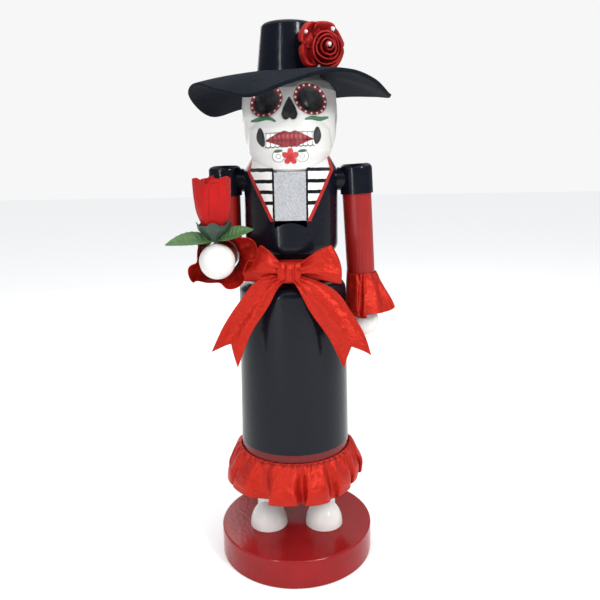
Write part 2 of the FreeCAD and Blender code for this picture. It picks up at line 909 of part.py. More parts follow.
def make_bent_arm():
    """The figure's right arm: upright to the elbow, then forwards to the hand with the rose."""
    x = -g.shoulder_offset
    low = g.elbow_height - 12
    upper = rod(
        "upper_blank", g.sleeve_radius, g.shoulder_height - g.cap_half - low, x, 0, low
    )
    hole_radius = g.arm_dowel_radius + g.glue_gap
    shoulder_hole = rod("upper_top_hole", hole_radius, 14, x, 0, g.shoulder_height - 23)
    pin_length = 16.0
    start = pin_length / 2 / math.sqrt(2)
    across = ((1, 0, 0), 135)
    elbow_pin = primitive("Cylinder", "elbow_rod", Radius=2.0, Height=pin_length)
    place(elbow_pin, x, start, g.elbow_height + start, *across)
    elbow_hole = primitive("Cylinder", "elbow_hole", Radius=g.glue_gap + 2, Height=pin_length)
    place(elbow_hole, x, start, g.elbow_height + start, *across)
    keep(
        "upper_sleeve_right",
        cut("upper_cut", upper, mitre_tool("mitre_upper", -BIG), shoulder_hole, elbow_hole),
    )
    reach = g.hand_reach - g.hand_radius + 2
    forearm = rod("forearm_blank", g.sleeve_radius, reach + 12, x, 12, g.elbow_height, along="y")
    palm = ball("palm_form", g.hand_radius, x, -g.hand_reach, g.elbow_height)
    wrist_hole = rod("wrist_hole", hole_radius, 25, x, -g.hand_reach + 22.5, g.elbow_height, along="y")
    keep(
        "forearm_right",
        cut("forearm_cut", forearm, mitre_tool("mitre_fore", 0), palm, wrist_hole, elbow_hole),
    )
    stem_hole = rod(
        "stem_hole", g.stem_radius + g.glue_gap, 20, x, -g.hand_reach, g.elbow_height + 4
    )
    whole_palm = ball("palm_right", g.hand_radius, x, -g.hand_reach, g.elbow_height)
    keep("hand_right", cut("hand_right_cut", whole_palm, wrist_hole, stem_hole))
    cuff = turned(
        "cuff_right_body",
        [
            (g.sleeve_radius + 0.2, 28),
            (g.sleeve_radius + 1.8, 28),
            (g.sleeve_radius + 2.7, 38.8),
            (18.5, 46.0),
            (19.0, 48.0),
            (13.5, 49.0),
            (g.sleeve_radius + 0.2, 41),
        ],
    )
    keep("cuff_right", place(cuff, x, 0, g.elbow_height, (1, 0, 0), 90))
    keep("elbow_dowel", elbow_pin)
    return rod("hand_dowel_right", g.arm_dowel_radius, 24, x, -g.hand_reach + 22, g.elbow_height, along="y")


def make_arms():
    across = []
    upright = []
    for side, sign in (("right", -1), ("left", 1)):
        dowel, down = make_shoulder(side, sign)
        across.append(dowel)
        upright.append(down)
    keep("shoulder_dowels", group("shoulder_dowel_pair", across))
    keep("arm_dowels", group("arm_dowel_pair", upright))
    keep("hand_dowels", group("hand_dowel_pair", [make_straight_arm(), make_bent_arm()]))


# ---- the rose in the hand ----

# Leaf outlines from above, as (x, y) corners from the stem, and the height of each leaf.
LEAVES = {
    "right": ([(-2, -1.5), (-8, -6), (-17, -7), (-28, -4), (-20, 1.5), (-10, 3.5), (-2, 1.5)], 1.5),
    "left": ([(2, -1.5), (2, 1.5), (9, 3.5), (16, 2), (20, -1), (13, -5), (7, -5)], 2.3),
}


def make_hand_rose():
    """Stem in the hand's hole, calyx, a closed bud in two layers, and two cloth leaves."""
    x = -g.shoulder_offset
    y = -g.hand_reach
    base = g.elbow_height + g.hand_radius
    stem_radius = g.stem_radius + g.glue_gap
    keep("rose_stem", rod("stem_rod", g.stem_radius, g.hand_radius + 6.7, x, y, g.elbow_height + 5))
    calyx = turned(
        "calyx_body",
        [(stem_radius, 3.2), (3.0, 3.2), (6.0, 9.5), (5.0, 9.5), (stem_radius, 6.5)],
    )
    keep("rose_calyx", place(calyx, x, y, base))
    petals = turned(
        "petal_cup",
        [
            (stem_radius, 6.6),
            (5.0, 9.6),
            (9.6, 14.5),
            (11.0, 22.0),
            (9.8, 31.0),
            (8.4, 31.5),
            (9.4, 22.0),
            (8.0, 15.5),
            (4.0, 11.5),
            (stem_radius, 9.5),
        ],
    )
    keep("rose_petals", place(petals, x, y, base))
    core = turned(
        "petal_core",
        [(0, 12.0), (3.6, 12.5), (7.0, 16.5), (8.4, 23.0), (7.2, 32.0), (3.0, 34.0), (0, 33.0)],
    )
    keep("rose_core", place(core, x, y, base))
    for side, (corners, height) in LEAVES.items():
        leaf = plate(f"leaf_{side}", "XY_Plane", corners, 0, 0.8)
        keep(f"rose_leaf_{side}", place(leaf, x, y, base + height))


def check_all():
    """Stops if anything in the document failed or any sub-part isn't a sound solid."""
    doc.recompute()
    for thing in doc.Objects:
        if {"Invalid", "Error"} & set(thing.State):
            raise RuntimeError(f"{thing.Label} failed: {thing.State}")
    for thing in subparts:
        shape = thing.Shape
        if shape.isNull() or not shape.isValid() or not shape.Solids:
            raise RuntimeError(f"{thing.Label} is not a sound solid")


def write_all():
    os.makedirs("parts", exist_ok=True)
    for thing in subparts:
        thing.Shape.exportStep(f"parts/{thing.Label}.step")


make_base()
make_legs()
make_skirt()
make_hem_ruffle()
make_waist()
make_bow()
make_torso()
make_lever()
make_skull()
make_hat()
make_arms()
make_hand_rose()
check_all()
write_all()
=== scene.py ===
"""Looks of a turned and lacquered Catrina: painted skull, satin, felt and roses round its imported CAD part.

Shapes are written in millimetres and become metres in new_mesh(). +Z is up, the face looks towards -Y,
and the figure's left arm is at +X.
"""

import math

import bmesh
import bpy
import numpy as np
from mathutils import Matrix, Vector


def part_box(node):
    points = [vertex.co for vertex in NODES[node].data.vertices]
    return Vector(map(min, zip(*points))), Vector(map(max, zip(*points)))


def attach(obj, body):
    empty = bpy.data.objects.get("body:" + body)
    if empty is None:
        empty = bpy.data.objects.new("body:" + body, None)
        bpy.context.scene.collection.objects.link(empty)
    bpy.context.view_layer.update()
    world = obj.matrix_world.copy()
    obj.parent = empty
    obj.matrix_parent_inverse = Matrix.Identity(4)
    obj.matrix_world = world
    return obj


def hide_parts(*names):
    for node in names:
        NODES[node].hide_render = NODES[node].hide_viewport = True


MM = 0.001
UV_SPAN = 100  # millimetres of cloth to one step of its UVs
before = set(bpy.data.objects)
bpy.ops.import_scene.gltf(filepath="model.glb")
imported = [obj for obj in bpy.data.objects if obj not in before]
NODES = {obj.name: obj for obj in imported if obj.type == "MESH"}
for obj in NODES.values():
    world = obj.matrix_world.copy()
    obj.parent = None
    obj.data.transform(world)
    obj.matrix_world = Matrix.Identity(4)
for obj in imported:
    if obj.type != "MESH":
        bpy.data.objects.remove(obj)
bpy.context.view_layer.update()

RED_SATIN = (0.40, 0.013, 0.008, 1)


# ---- materials ----


class Finish:
    """A material being built: its shader, and short calls for the nodes behind it."""

    def __init__(self, name, **sockets):
        self.material = bpy.data.materials.new(name)
        self.material.use_nodes = True
        self.tree = self.material.node_tree
        self.shader = self.tree.nodes["Principled BSDF"]
        for label, value in sockets.items():
            self.shader.inputs[label.replace("_", " ")].default_value = value

    def node(self, kind, **settings):
        made = self.tree.nodes.new(kind)
        for name, value in settings.items():
            setattr(made, name, value)
        return made

    def feed(self, socket, source):
        if isinstance(source, bpy.types.NodeSocket):
            self.tree.links.new(source, socket)
        else:
            socket.default_value = source

    def colour(self, source):
        self.feed(self.shader.inputs["Base Color"], source)

    def roughness(self, source):
        self.feed(self.shader.inputs["Roughness"], source)

    def place(self, stretch=(1, 1, 1)):
        """The point on the object in millimetres, with each axis stretched."""
        made = self.node("ShaderNodeMapping")
        made.inputs["Scale"].default_value = [factor / MM for factor in stretch]
        self.feed(made.inputs["Vector"], self.node("ShaderNodeTexCoord").outputs["Object"])
        return made.outputs[0]

    def weave_place(self, stretch=(1, 1, 1)):
        """The point on the cloth in millimetres, along its own threads."""
        made = self.node("ShaderNodeMapping")
        made.inputs["Scale"].default_value = [factor * UV_SPAN for factor in stretch]
        self.feed(made.inputs["Vector"], self.node("ShaderNodeTexCoord").outputs["UV"])
        return made.outputs[0]

    def split(self, vector):
        made = self.node("ShaderNodeSeparateXYZ")
        self.feed(made.inputs[0], vector)
        return made.outputs

    def maths(self, operation, *values):
        made = self.node("ShaderNodeMath", operation=operation)
        for socket, value in zip(made.inputs, values):
            self.feed(socket, value)
        return made.outputs[0]

    def noise(self, vector, scale, detail=2.0):
        made = self.node("ShaderNodeTexNoise")
        self.feed(made.inputs["Vector"], vector)
        made.inputs["Scale"].default_value = scale
        made.inputs["Detail"].default_value = detail
        return made.outputs[0]

    def cells(self, vector, scale):
        made = self.node("ShaderNodeTexVoronoi")
        self.feed(made.inputs["Vector"], vector)
        made.inputs["Scale"].default_value = scale
        return made.outputs

    def remap(self, value, low, high, to_low, to_high):
        made = self.node("ShaderNodeMapRange")
        for socket, source in zip(made.inputs, (value, low, high, to_low, to_high)):
            self.feed(socket, source)
        return made.outputs[0]

    def mix(self, factor, first, second):
        made = self.node("ShaderNodeMix", data_type="RGBA")
        self.feed(made.inputs[0], factor)
        self.feed(made.inputs[6], first)
        self.feed(made.inputs[7], second)
        return made.outputs[2]

    def bump(self, height, depth):
        """Raises the surface by depth millimetres where height is 1."""
        made = self.node("ShaderNodeBump")
        made.inputs["Distance"].default_value = depth * MM
        self.feed(made.inputs["Height"], height)
        self.feed(self.shader.inputs["Normal"], made.outputs[0])


def tone(colour, factor):
    return (*[channel * factor for channel in colour[:3]], 1)


def lacquered(name, colour, roughness=0.2, coat=0.10):
    """Sprayed gloss paint on turned wood: faint orange peel, clouding and settled dust."""
    finish = Finish(name, Specular_IOR_Level=0.14, Coat_Weight=coat, Coat_Roughness=0.08)
    spot = finish.place()
    cloud = finish.noise(spot, 0.06, 4)
    dust = finish.noise(spot, 3.5, 1)
    finish.colour(finish.mix(cloud, tone(colour, 0.75), tone(colour, 1.2)))
    finish.roughness(finish.remap(cloud, 0.3, 0.7, roughness - 0.04, roughness + 0.07))
    peel = finish.noise(spot, 0.35, 1)
    height = finish.maths("ADD", peel, finish.maths("MULTIPLY", dust, 0.06))
    finish.bump(height, 0.12)
    return finish


def wobbled(finish, reach=0.35):
    """The point in millimetres, shaken a little so that painted edges look brushed by hand."""
    spot = finish.place()
    shake = finish.node("ShaderNodeTexNoise")
    finish.feed(shake.inputs["Vector"], spot)
    shake.inputs["Scale"].default_value = 0.35
    shift = finish.node("ShaderNodeVectorMath", operation="MULTIPLY_ADD")
    finish.feed(shift.inputs[0], shake.outputs["Color"])
    shift.inputs[1].default_value = [2 * reach] * 3
    shift.inputs[2].default_value = [-reach] * 3
    total = finish.node("ShaderNodeVectorMath", operation="ADD")
    finish.feed(total.inputs[0], spot)
    finish.feed(total.inputs[1], shift.outputs[0])
    return total.outputs[0]


BLACK = (0.0040, 0.0050, 0.0095, 1)
WHITE = (0.72, 0.70, 0.67, 1)
TRIM_RED = (0.36, 0.020, 0.018, 1)
STRIPES = (265.2, 258.4, 252.0, 245.5)


def blouse_paint():
    """The torso: black lacquer with a white V of a blouse, its black stripes, its red trim and painted shade
    beside the lever's slot.
    """
    finish = lacquered("torso_paint", BLACK, 0.24)
    x, y, z = finish.split(wobbled(finish))
    wide = finish.maths("ABSOLUTE", x)
    rising = finish.maths("MULTIPLY_ADD", finish.maths("SUBTRACT", z, 235.0), 0.48, 11.4)
    falling = finish.maths("MULTIPLY_ADD", finish.maths("SUBTRACT", z, 265.0), -0.2, 25.6)
    edge = finish.maths("MINIMUM", rising, falling)
    front = finish.maths("LESS_THAN", y, -1.0)
    above = finish.maths("GREATER_THAN", z, 234.4)
    front = finish.maths("MULTIPLY", front, above)
    white = finish.maths("MULTIPLY", finish.maths("LESS_THAN", wide, edge), front)
    trim = finish.maths("MULTIPLY", finish.maths("COMPARE", wide, edge, 1.15), front)
    stripe = finish.maths("COMPARE", z, STRIPES[0], 1.1)
    for height in STRIPES[1:]:
        stripe = finish.maths("MAXIMUM", stripe, finish.maths("COMPARE", z, height, 1.1))
    # Black lines at the sides of the lever's block are painted shade of the gap round it.
    slot_gap_shade = finish.maths("COMPARE", wide, 10.2, 0.55)
    stripe = finish.maths("MAXIMUM", stripe, slot_gap_shade)
    base = finish.shader.inputs["Base Color"].links[0].from_socket
    painted = finish.mix(white, base, WHITE)
    painted = finish.mix(finish.maths("MULTIPLY", white, stripe), painted, BLACK)
    finish.colour(finish.mix(trim, painted, TRIM_RED))
    return finish


def skirt_paint():
    """The skirt: black lacquer with a dark red band above the ruffle."""
    finish = lacquered("skirt_paint", BLACK, 0.17)
    _, _, z = finish.split(wobbled(finish, 0.25))
    band = finish.maths("LESS_THAN", z, 85.0)
    base = finish.shader.inputs["Base Color"].links[0].from_socket
    finish.colour(finish.mix(band, base, (0.13, 0.012, 0.012, 1)))
    return finish


def sleeve_paint():
    """Red enamel brushed along the arm, with faint long strokes."""
    finish = Finish("sleeve_paint", Specular_IOR_Level=0.25, Coat_Weight=0.12, Coat_Roughness=0.2)
    strokes = finish.noise(finish.place((1, 1, 0.03)), 0.9, 3)
    cloud = finish.noise(finish.place(), 0.08, 2)
    blend = finish.maths("MULTIPLY_ADD", strokes, 0.8, finish.maths("MULTIPLY", cloud, 0.2))
    finish.colour(finish.mix(blend, (0.15, 0.005, 0.005, 1), (0.36, 0.013, 0.010, 1)))
    finish.roughness(finish.remap(strokes, 0.3, 0.7, 0.32, 0.48))
    finish.bump(strokes, 0.25)
    return finish


def satin(name, colour, shine=0.33):
    """Polyester satin: long floats that stretch the highlight, fine crosswise threads and soft creases, with
    a painted sheen along lengthwise streaks and painted shade in the creases.
    """
    finish = Finish(
        name,
        Metallic=0.35,
        Specular_IOR_Level=0.7,
        Specular_Tint=(1.0, 0.30, 0.18, 1),
        Anisotropic=0.5,
    )
    streak = finish.noise(finish.weave_place((0.05, 0.9, 1)), 1.0, 2)
    crease = finish.noise(finish.weave_place(), 0.16, 3)
    thread = finish.node("ShaderNodeTexWave", bands_direction="Y")
    finish.feed(thread.inputs["Vector"], finish.weave_place())
    thread.inputs["Scale"].default_value = 1.1
    thread.inputs["Distortion"].default_value = 0.6
    # The colour lightens along the streaks, a painted sheen, and darkens with the crease noise, a painted
    # crease shade.
    shade = finish.maths("MULTIPLY_ADD", streak, 0.35, finish.maths("MULTIPLY", crease, 0.65))
    finish.colour(finish.mix(shade, tone(colour, 0.70), tone(colour, 1.28)))
    finish.roughness(finish.remap(streak, 0.3, 0.7, shine - 0.03, shine + 0.05))
    height = finish.maths("MULTIPLY_ADD", thread.outputs[1], 0.015, crease)
    finish.bump(height, 1.6)
    return finish


def felt():
    """Pressed black wool felt: short fuzz, matted clumps and hardly any sheen."""
    finish = Finish(
        "black_felt",
        Specular_IOR_Level=0.05,
        Sheen_Weight=0.03,
        Sheen_Roughness=0.5,
        Sheen_Tint=(0.62, 0.70, 0.85, 1),
    )
    spot = finish.place()
    clump = finish.noise(spot, 0.25, 4)
    fuzz = finish.noise(spot, 4.0, 3)
    finish.colour(finish.mix(clump, (0.0035, 0.0046, 0.0075, 1), (0.0095, 0.0118, 0.0175, 1)))
    finish.roughness(finish.remap(fuzz, 0.3, 0.7, 0.75, 0.95))
    finish.bump(finish.maths("MULTIPLY_ADD", fuzz, 0.5, clump), 0.35)
    return finish


def glitter():
    """Silver glitter paper: tiny flakes that each tilt their own way on a grey ground."""
    finish = Finish("silver_glitter", Metallic=0.55)
    flakes = finish.cells(finish.place(), 2.4)
    shade = finish.split(flakes["Color"])[0]
    cloud = finish.noise(finish.place(), 0.25, 3)
    blend = finish.maths("MULTIPLY_ADD", shade, 0.6, finish.maths("MULTIPLY", cloud, 0.4))
    # Each flake's colour is lighter or darker at random: painted glints standing in for how its tilt catches
    # the light.
    finish.colour(finish.mix(blend, (0.27, 0.275, 0.29, 1), (0.66, 0.67, 0.70, 1)))
    finish.roughness(finish.remap(shade, 0.0, 1.0, 0.28, 0.6))
    finish.bump(shade, 0.3)
    return finish


def glass():
    finish = Finish("rhinestone_glass", Roughness=0.03, IOR=1.55, Metallic=0.35)
    facets = finish.cells(finish.place(), 1.3)
    # Each facet is lighter or darker: painted reflections on the facets.
    finish.colour(finish.mix(finish.split(facets["Color"])[0], (0.75, 0.78, 0.82, 1), (1, 1, 1, 1)))
    finish.bump(facets["Distance"], 0.5)
    return finish


def wood():
    """Bare beech: fine rings and pores."""
    finish = Finish("bare_beech", Roughness=0.6)
    rings = finish.noise(finish.place((1, 1, 0.06)), 0.6, 4)
    finish.colour(finish.mix(rings, (0.36, 0.21, 0.10, 1), (0.62, 0.42, 0.23, 1)))
    finish.bump(rings, 0.15)
    return finish


def metal():
    """Zinc-plated steel with turning marks."""
    finish = Finish("zinc_steel", Metallic=1.0)
    marks = finish.noise(finish.place((0.1, 1, 3)), 1.2, 2)
    finish.colour(finish.mix(marks, (0.42, 0.42, 0.43, 1), (0.68, 0.68, 0.70, 1)))
    finish.roughness(finish.remap(marks, 0.3, 0.7, 0.25, 0.45))
    finish.bump(marks, 0.05)
    return finish


def velvet_petal():
    """Printed fabric petal: fine lengthwise veins and cloudy darker patches."""
    finish = Finish(
        "rose_fabric", Specular_IOR_Level=0.2, Specular_Tint=(1.0, 0.35, 0.35, 1), Sheen_Weight=0.05
    )
    vein = finish.noise(finish.weave_place((1.4, 0.08, 1)), 1.0, 3)
    cloud = finish.noise(finish.place(), 0.10, 3)
    blend = finish.maths("MULTIPLY_ADD", vein, 0.5, finish.maths("MULTIPLY", cloud, 0.5))
    finish.colour(finish.mix(blend, (0.19, 0.003, 0.004, 1), (0.55, 0.013, 0.012, 1)))
    finish.roughness(finish.remap(vein, 0.3, 0.7, 0.5, 0.68))
    finish.bump(vein, 0.3)
    return finish


def leaf_fabric(name, dark, light):
    """Stamped fabric leaf: pressed veins and a waxy top."""
    finish = Finish(name, Coat_Weight=0.15, Coat_Roughness=0.4)
    vein = finish.noise(finish.weave_place((0.5, 0.5, 1)), 1.2, 3)
    cloud = finish.noise(finish.place(), 0.15, 3)
    finish.colour(finish.mix(cloud, dark, light))
    finish.roughness(finish.remap(vein, 0.3, 0.7, 0.45, 0.65))
    finish.bump(vein, 0.25)
    return finish


def skull_paint():
    """White enamel with hand-painted colours, brush marks and a soft gloss."""
    finish = Finish("skull_enamel", Specular_IOR_Level=0.12, Coat_Weight=0.08, Coat_Roughness=0.12)
    paint = finish.node("ShaderNodeAttribute", attribute_name="paint").outputs["Color"]
    cloud = finish.noise(finish.place(), 0.12, 4)
    finish.colour(finish.mix(finish.remap(cloud, 0.35, 0.7, 0.0, 0.10), paint, (0.55, 0.53, 0.50, 1)))
    brush = finish.noise(finish.place((1, 1, 0.5)), 0.8, 3)
    gloss = finish.remap(brush, 0.3, 0.7, 0.26, 0.38)
    matt = finish.remap(finish.split(paint)[1], 0.02, 0.2, 0.35, 0.0)
    finish.roughness(finish.maths("ADD", gloss, matt))
    finish.bump(brush, 0.10)
    return finish


def dark_thread():
    finish = Finish("dark_red_thread", Roughness=0.8)
    twist = finish.noise(finish.place(), 3.0, 2)
    finish.colour(finish.mix(twist, (0.035, 0.006, 0.008, 1), (0.13, 0.012, 0.014, 1)))
    finish.bump(twist, 0.2)
    return finish


SATIN = satin("red_satin", RED_SATIN).material
ROSE_SATIN = satin("rose_ribbon_satin", (0.27, 0.008, 0.011, 1), 0.44).material
FELT = felt().material
DARK_THREAD = dark_thread().material
GLASS = glass().material
GLITTER = glitter().material
PETAL = velvet_petal().material
LEAF = leaf_fabric("leaf_fabric", (0.016, 0.055, 0.014, 1), (0.085, 0.19, 0.055, 1)).material
CALYX = leaf_fabric("calyx_fabric", (0.006, 0.018, 0.010, 1), (0.022, 0.055, 0.030, 1)).material
SKULL = skull_paint().material
WOOD = wood().material
STEEL = metal().material
BLACK_PAINT = lacquered("black_lacquer", BLACK, 0.18).material
WHITE_PAINT = lacquered("white_lacquer", WHITE, 0.16).material
RED_PAINT = lacquered("red_lacquer", (0.25, 0.009, 0.010, 1), 0.15).material
RED_SLEEVE = sleeve_paint().material
LEVER_PAINT = lacquered("lever_black", BLACK, 0.3, 0.05).material

# Each material and the carried-over CAD nodes that wear it.
WORN_BY = (
    (RED_PAINT, ["base_disc"]),
    (STEEL, ["base_screws", "lever_pin"]),
    (WHITE_PAINT, ["leg_left", "leg_right", "shoe_left", "shoe_right", "hand_left", "hand_right"]),
    (skirt_paint().material, ["skirt"]),
    (blouse_paint().material, ["torso"]),
    (BLACK_PAINT, ["waist_block", "hat_crown", "shoulder_cap_left", "shoulder_cap_right"]),
    (BLACK_PAINT, ["shoulder_spacer_left", "shoulder_spacer_right"]),
    (RED_SLEEVE, ["sleeve_left", "upper_sleeve_right", "forearm_right"]),
    (LEVER_PAINT, ["lever"]),
    (CALYX, ["rose_stem"]),
)
CAD_FINISHES = {name: material for material, names in WORN_BY for name in names}


def finish_cad():
    """Gives every carried-over CAD node its material. The dowels stay bare wood."""
    for name, node in NODES.items():
        material = CAD_FINISHES.get(name, WOOD)
        node.data.materials.clear()
        node.data.materials.append(material)


# ---- mesh tools ----

SATIN_THICK = 0.35
LEAF_THICK = 0.35
PAPER_THICK = 0.35
PETAL_THICK = 0.45
CALYX_THICK = 0.6
FELT_THICK = 1.9


def new_mesh(name, points, faces, material):
    """A smooth mesh object from millimetre points."""
    mesh = bpy.data.meshes.new(name)
    mesh.from_pydata((np.asarray(points).reshape(-1, 3) * MM).tolist(), [], faces.tolist())
    mesh.materials.append(material)
    mesh.shade_smooth()
    piece = bpy.data.objects.new(name, mesh)
    bpy.context.scene.collection.objects.link(piece)
    return piece


def combined(x, y, z):
    """Points from coordinates of matching or stretchable shapes."""
    return np.stack(np.broadcast_arrays(x, y, z), -1)


def grid_faces(rows, columns, wrap):
    """Quads over a grid, and each corner's (column, row)."""
    last = columns if wrap else columns - 1
    i, j = np.meshgrid(np.arange(rows - 1), np.arange(last), indexing="ij")
    k = (j + 1) % columns
    quads = np.stack(
        [i * columns + j, i * columns + k, (i + 1) * columns + k, (i + 1) * columns + j], -1
    )
    corners = np.stack([[j, j + 1, j + 1, j], [i, i, i + 1, i + 1]], -1)
    return quads.reshape(-1, 4), np.moveaxis(corners, 0, 2).reshape(-1, 2)


def surface(name, grids, material, thick, wrap=False):
    """One piece of cloth or felt from grids of points, with UVs that follow its threads."""
    points, faces, threads = [], [], []
    start = 0
    for grid in grids:
        rows, columns = grid.shape[:2]
        quads, corners = grid_faces(rows, columns, wrap)
        across = np.linalg.norm(np.diff(grid, axis=1), axis=-1).mean()
        down = np.linalg.norm(np.diff(grid, axis=0), axis=-1).mean()
        points.append(grid.reshape(-1, 3))
        faces.append(quads + start)
        threads.append(corners * (across / UV_SPAN, down / UV_SPAN))
        start += rows * columns
    piece = new_mesh(name, np.concatenate(points), np.concatenate(faces), material)
    layer = piece.data.uv_layers.new(name="threads")
    layer.data.foreach_set("uv", np.concatenate(threads).ravel())
    shell = piece.modifiers.new("thickness", "SOLIDIFY")
    shell.thickness = thick * MM
    shell.offset = 0
    return piece


def stand_for(piece, node, body="figure"):
    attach(piece, body)
    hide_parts(node)
    return piece


def smooth_line(at, knots, values):
    """Values at the points 'at', on a smooth line through the knots."""
    knots = np.asarray(knots, float)
    values = np.asarray(values, float).reshape(len(knots), -1)
    slopes = np.gradient(values, knots, axis=0)
    spot = np.clip(np.searchsorted(knots, at, side="right") - 1, 0, len(knots) - 2)
    gap = knots[spot + 1] - knots[spot]
    s = ((at - knots[spot]) / gap)[:, None]
    gap = gap[:, None]
    start = values[spot] * (1 + 2 * s) * (1 - s) ** 2 + slopes[spot] * gap * s * (1 - s) ** 2
    end = values[spot + 1] * s**2 * (3 - 2 * s) - slopes[spot + 1] * gap * s**2 * (1 - s)
    return start + end


def along(share, *points):
    """The smooth line through points, at shares from 0 to 1 of its length."""
    steps = np.linalg.norm(np.diff(points, axis=0), axis=1)
    knots = np.concatenate([[0], np.cumsum(steps)]) / steps.sum()
    return smooth_line(np.asarray(share), knots, points)


def around(degrees, knots):
    """The smooth closed line through (degrees, value, ...) knots."""
    knots = np.asarray(knots, float)
    before, after = knots[-3:].copy(), knots[:3].copy()
    before[:, 0] -= 360
    after[:, 0] += 360
    knots = np.concatenate([before, knots, after])
    return smooth_line(degrees, knots[:, 0], knots[:, 1:])


def ease(value, low=0.0, high=1.0):
    share = np.clip((value - low) / (high - low), 0, 1)
    return share * share * (3 - 2 * share)


# ---- skull ----

EYES = ((-13.2, 304.6, 32), (12.8, 305.4, -32))
EYE_LONG, EYE_SHORT, RING = 10.3, 8.6, 2.0
NOSE_X = 0.4


def oval(x, z, centre_x, centre_z, long, short, tilt=0.0):
    """Distance in millimetres outside (+) or inside (-) a tilted oval."""
    turn = math.radians(tilt)
    dx, dz = x - centre_x, z - centre_z
    a = dx * math.cos(turn) + dz * math.sin(turn)
    b = dz * math.cos(turn) - dx * math.sin(turn)
    return (np.hypot(a / long, b / short) - 1) * min(long, short)


def stroke(x, z, points, width):
    """Distance outside a brush stroke along points, full in its middle and thin at its ends."""
    share = np.linspace(0, 1, 24)
    line = along(share, *points)
    reach = width * (0.45 + 0.55 * np.sin(math.pi * share))
    best = np.full(x.shape, 1e3)
    for (px, pz), r in zip(line, reach):
        best = np.minimum(best, np.hypot(x - px, z - pz) - r)
    return best


def inside(distance, soft=0.22):
    return np.clip(0.5 - distance / soft, 0, 1)


def nose_distance(x, z):
    """An inverted heart: a point at the top and two lobes below."""
    half = np.interp(z, [293.4, 294.4, 297.0, 300.5, 304.0, 306.8], [2.2, 3.9, 4.8, 3.7, 1.9, 0.2])
    side = np.abs(x - NOSE_X) - half
    ends = np.maximum(z - 306.8, 293.6 + 1.2 * np.exp(-((x - NOSE_X) ** 2) / 0.9) - z)
    return np.maximum(side * 0.9, ends)


def lip_band(x):
    """Upper edge, parting and lower edge of the painted lips at x."""
    knots = np.array([-13.4, -10.0, -7.0, -2.6, 0.6, 3.4, 7.4, 10.4, 13.8])
    upper = np.interp(x, knots, [282.0, 284.0, 285.7, 287.4, 286.3, 287.5, 285.9, 284.4, 282.8])
    middle = np.interp(x, knots, [281.8, 281.7, 281.8, 282.0, 281.7, 282.0, 282.1, 282.4, 282.7])
    lower = np.interp(x, knots, [281.6, 280.6, 279.5, 278.0, 278.3, 278.2, 279.9, 281.3, 282.5])
    return upper, middle, lower


class Paint:
    """Layers of hand-painted colour over the skull's points, on a white that darkens towards the top as a
    painted shadow of the hat's brim.
    """

    def __init__(self, x, y, z):
        self.x, self.y, self.z = x, y, z
        self.front = ease(-y, 2.0, 8.0)
        # The white grows up to a quarter darker above the eyes: a painted shadow of the hat's brim.
        self.rgb = np.tile((0.66, 0.65, 0.625), (len(x), 1)) * (1 - 0.24 * ease(z, 296, 312))[:, None]

    def lay(self, mask, colour):
        amount = (mask * self.front)[:, None]
        self.rgb = self.rgb * (1 - amount) + np.array(colour) * amount


INK = (0.005, 0.0055, 0.009)
RING_RED = (0.20, 0.008, 0.014)
LIP_RED = (0.30, 0.016, 0.024)
LEAF_GREEN = (0.020, 0.105, 0.048)
FLOWER_RED = (0.52, 0.030, 0.032)
CHALK = (0.86, 0.85, 0.82)


def paint_eyes(paint):
    for centre_x, centre_z, tilt in EYES:
        outer = oval(paint.x, paint.z, centre_x, centre_z, EYE_LONG, EYE_SHORT, tilt)
        # A soft grey halo round each socket: painted shade in the socket's hollow.
        paint.lay(0.45 * inside(outer - 1.0, 2.4), (0.32, 0.31, 0.31))
        paint.lay(inside(outer), RING_RED)
        paint.lay(inside(outer + RING), INK)
        turn = math.radians(tilt)
        for step in range(16):
            angle = 2 * math.pi * (step + 0.35) / 16
            a = (EYE_LONG - RING / 2) * math.cos(angle)
            b = (EYE_SHORT - RING / 2) * math.sin(angle)
            dot_x = centre_x + a * math.cos(turn) - b * math.sin(turn)
            dot_z = centre_z + a * math.sin(turn) + b * math.cos(turn)
            paint.lay(inside(np.hypot(paint.x - dot_x, paint.z - dot_z) - 0.55, 0.25), CHALK)


def paint_nose(paint):
    distance = nose_distance(paint.x, paint.z)
    # A soft grey halo round the nose: painted shade in its hollow.
    paint.lay(0.35 * inside(distance - 0.9, 1.8), (0.35, 0.35, 0.35))
    paint.lay(inside(distance), INK)


def paint_leaves(paint):
    left = [(-22.2, 293.8), (-17.5, 294.3), (-13.0, 294.9), (-10.4, 294.3), (-8.0, 292.9)]
    right = [(9.8, 294.0), (13.5, 294.7), (18.0, 294.3), (23.0, 295.4)]
    for points in (left, right):
        distance = stroke(paint.x, paint.z, points, 1.35)
        paint.lay(inside(distance), LEAF_GREEN)
        paint.lay(inside(distance + 0.85, 0.5), (0.05, 0.18, 0.085))


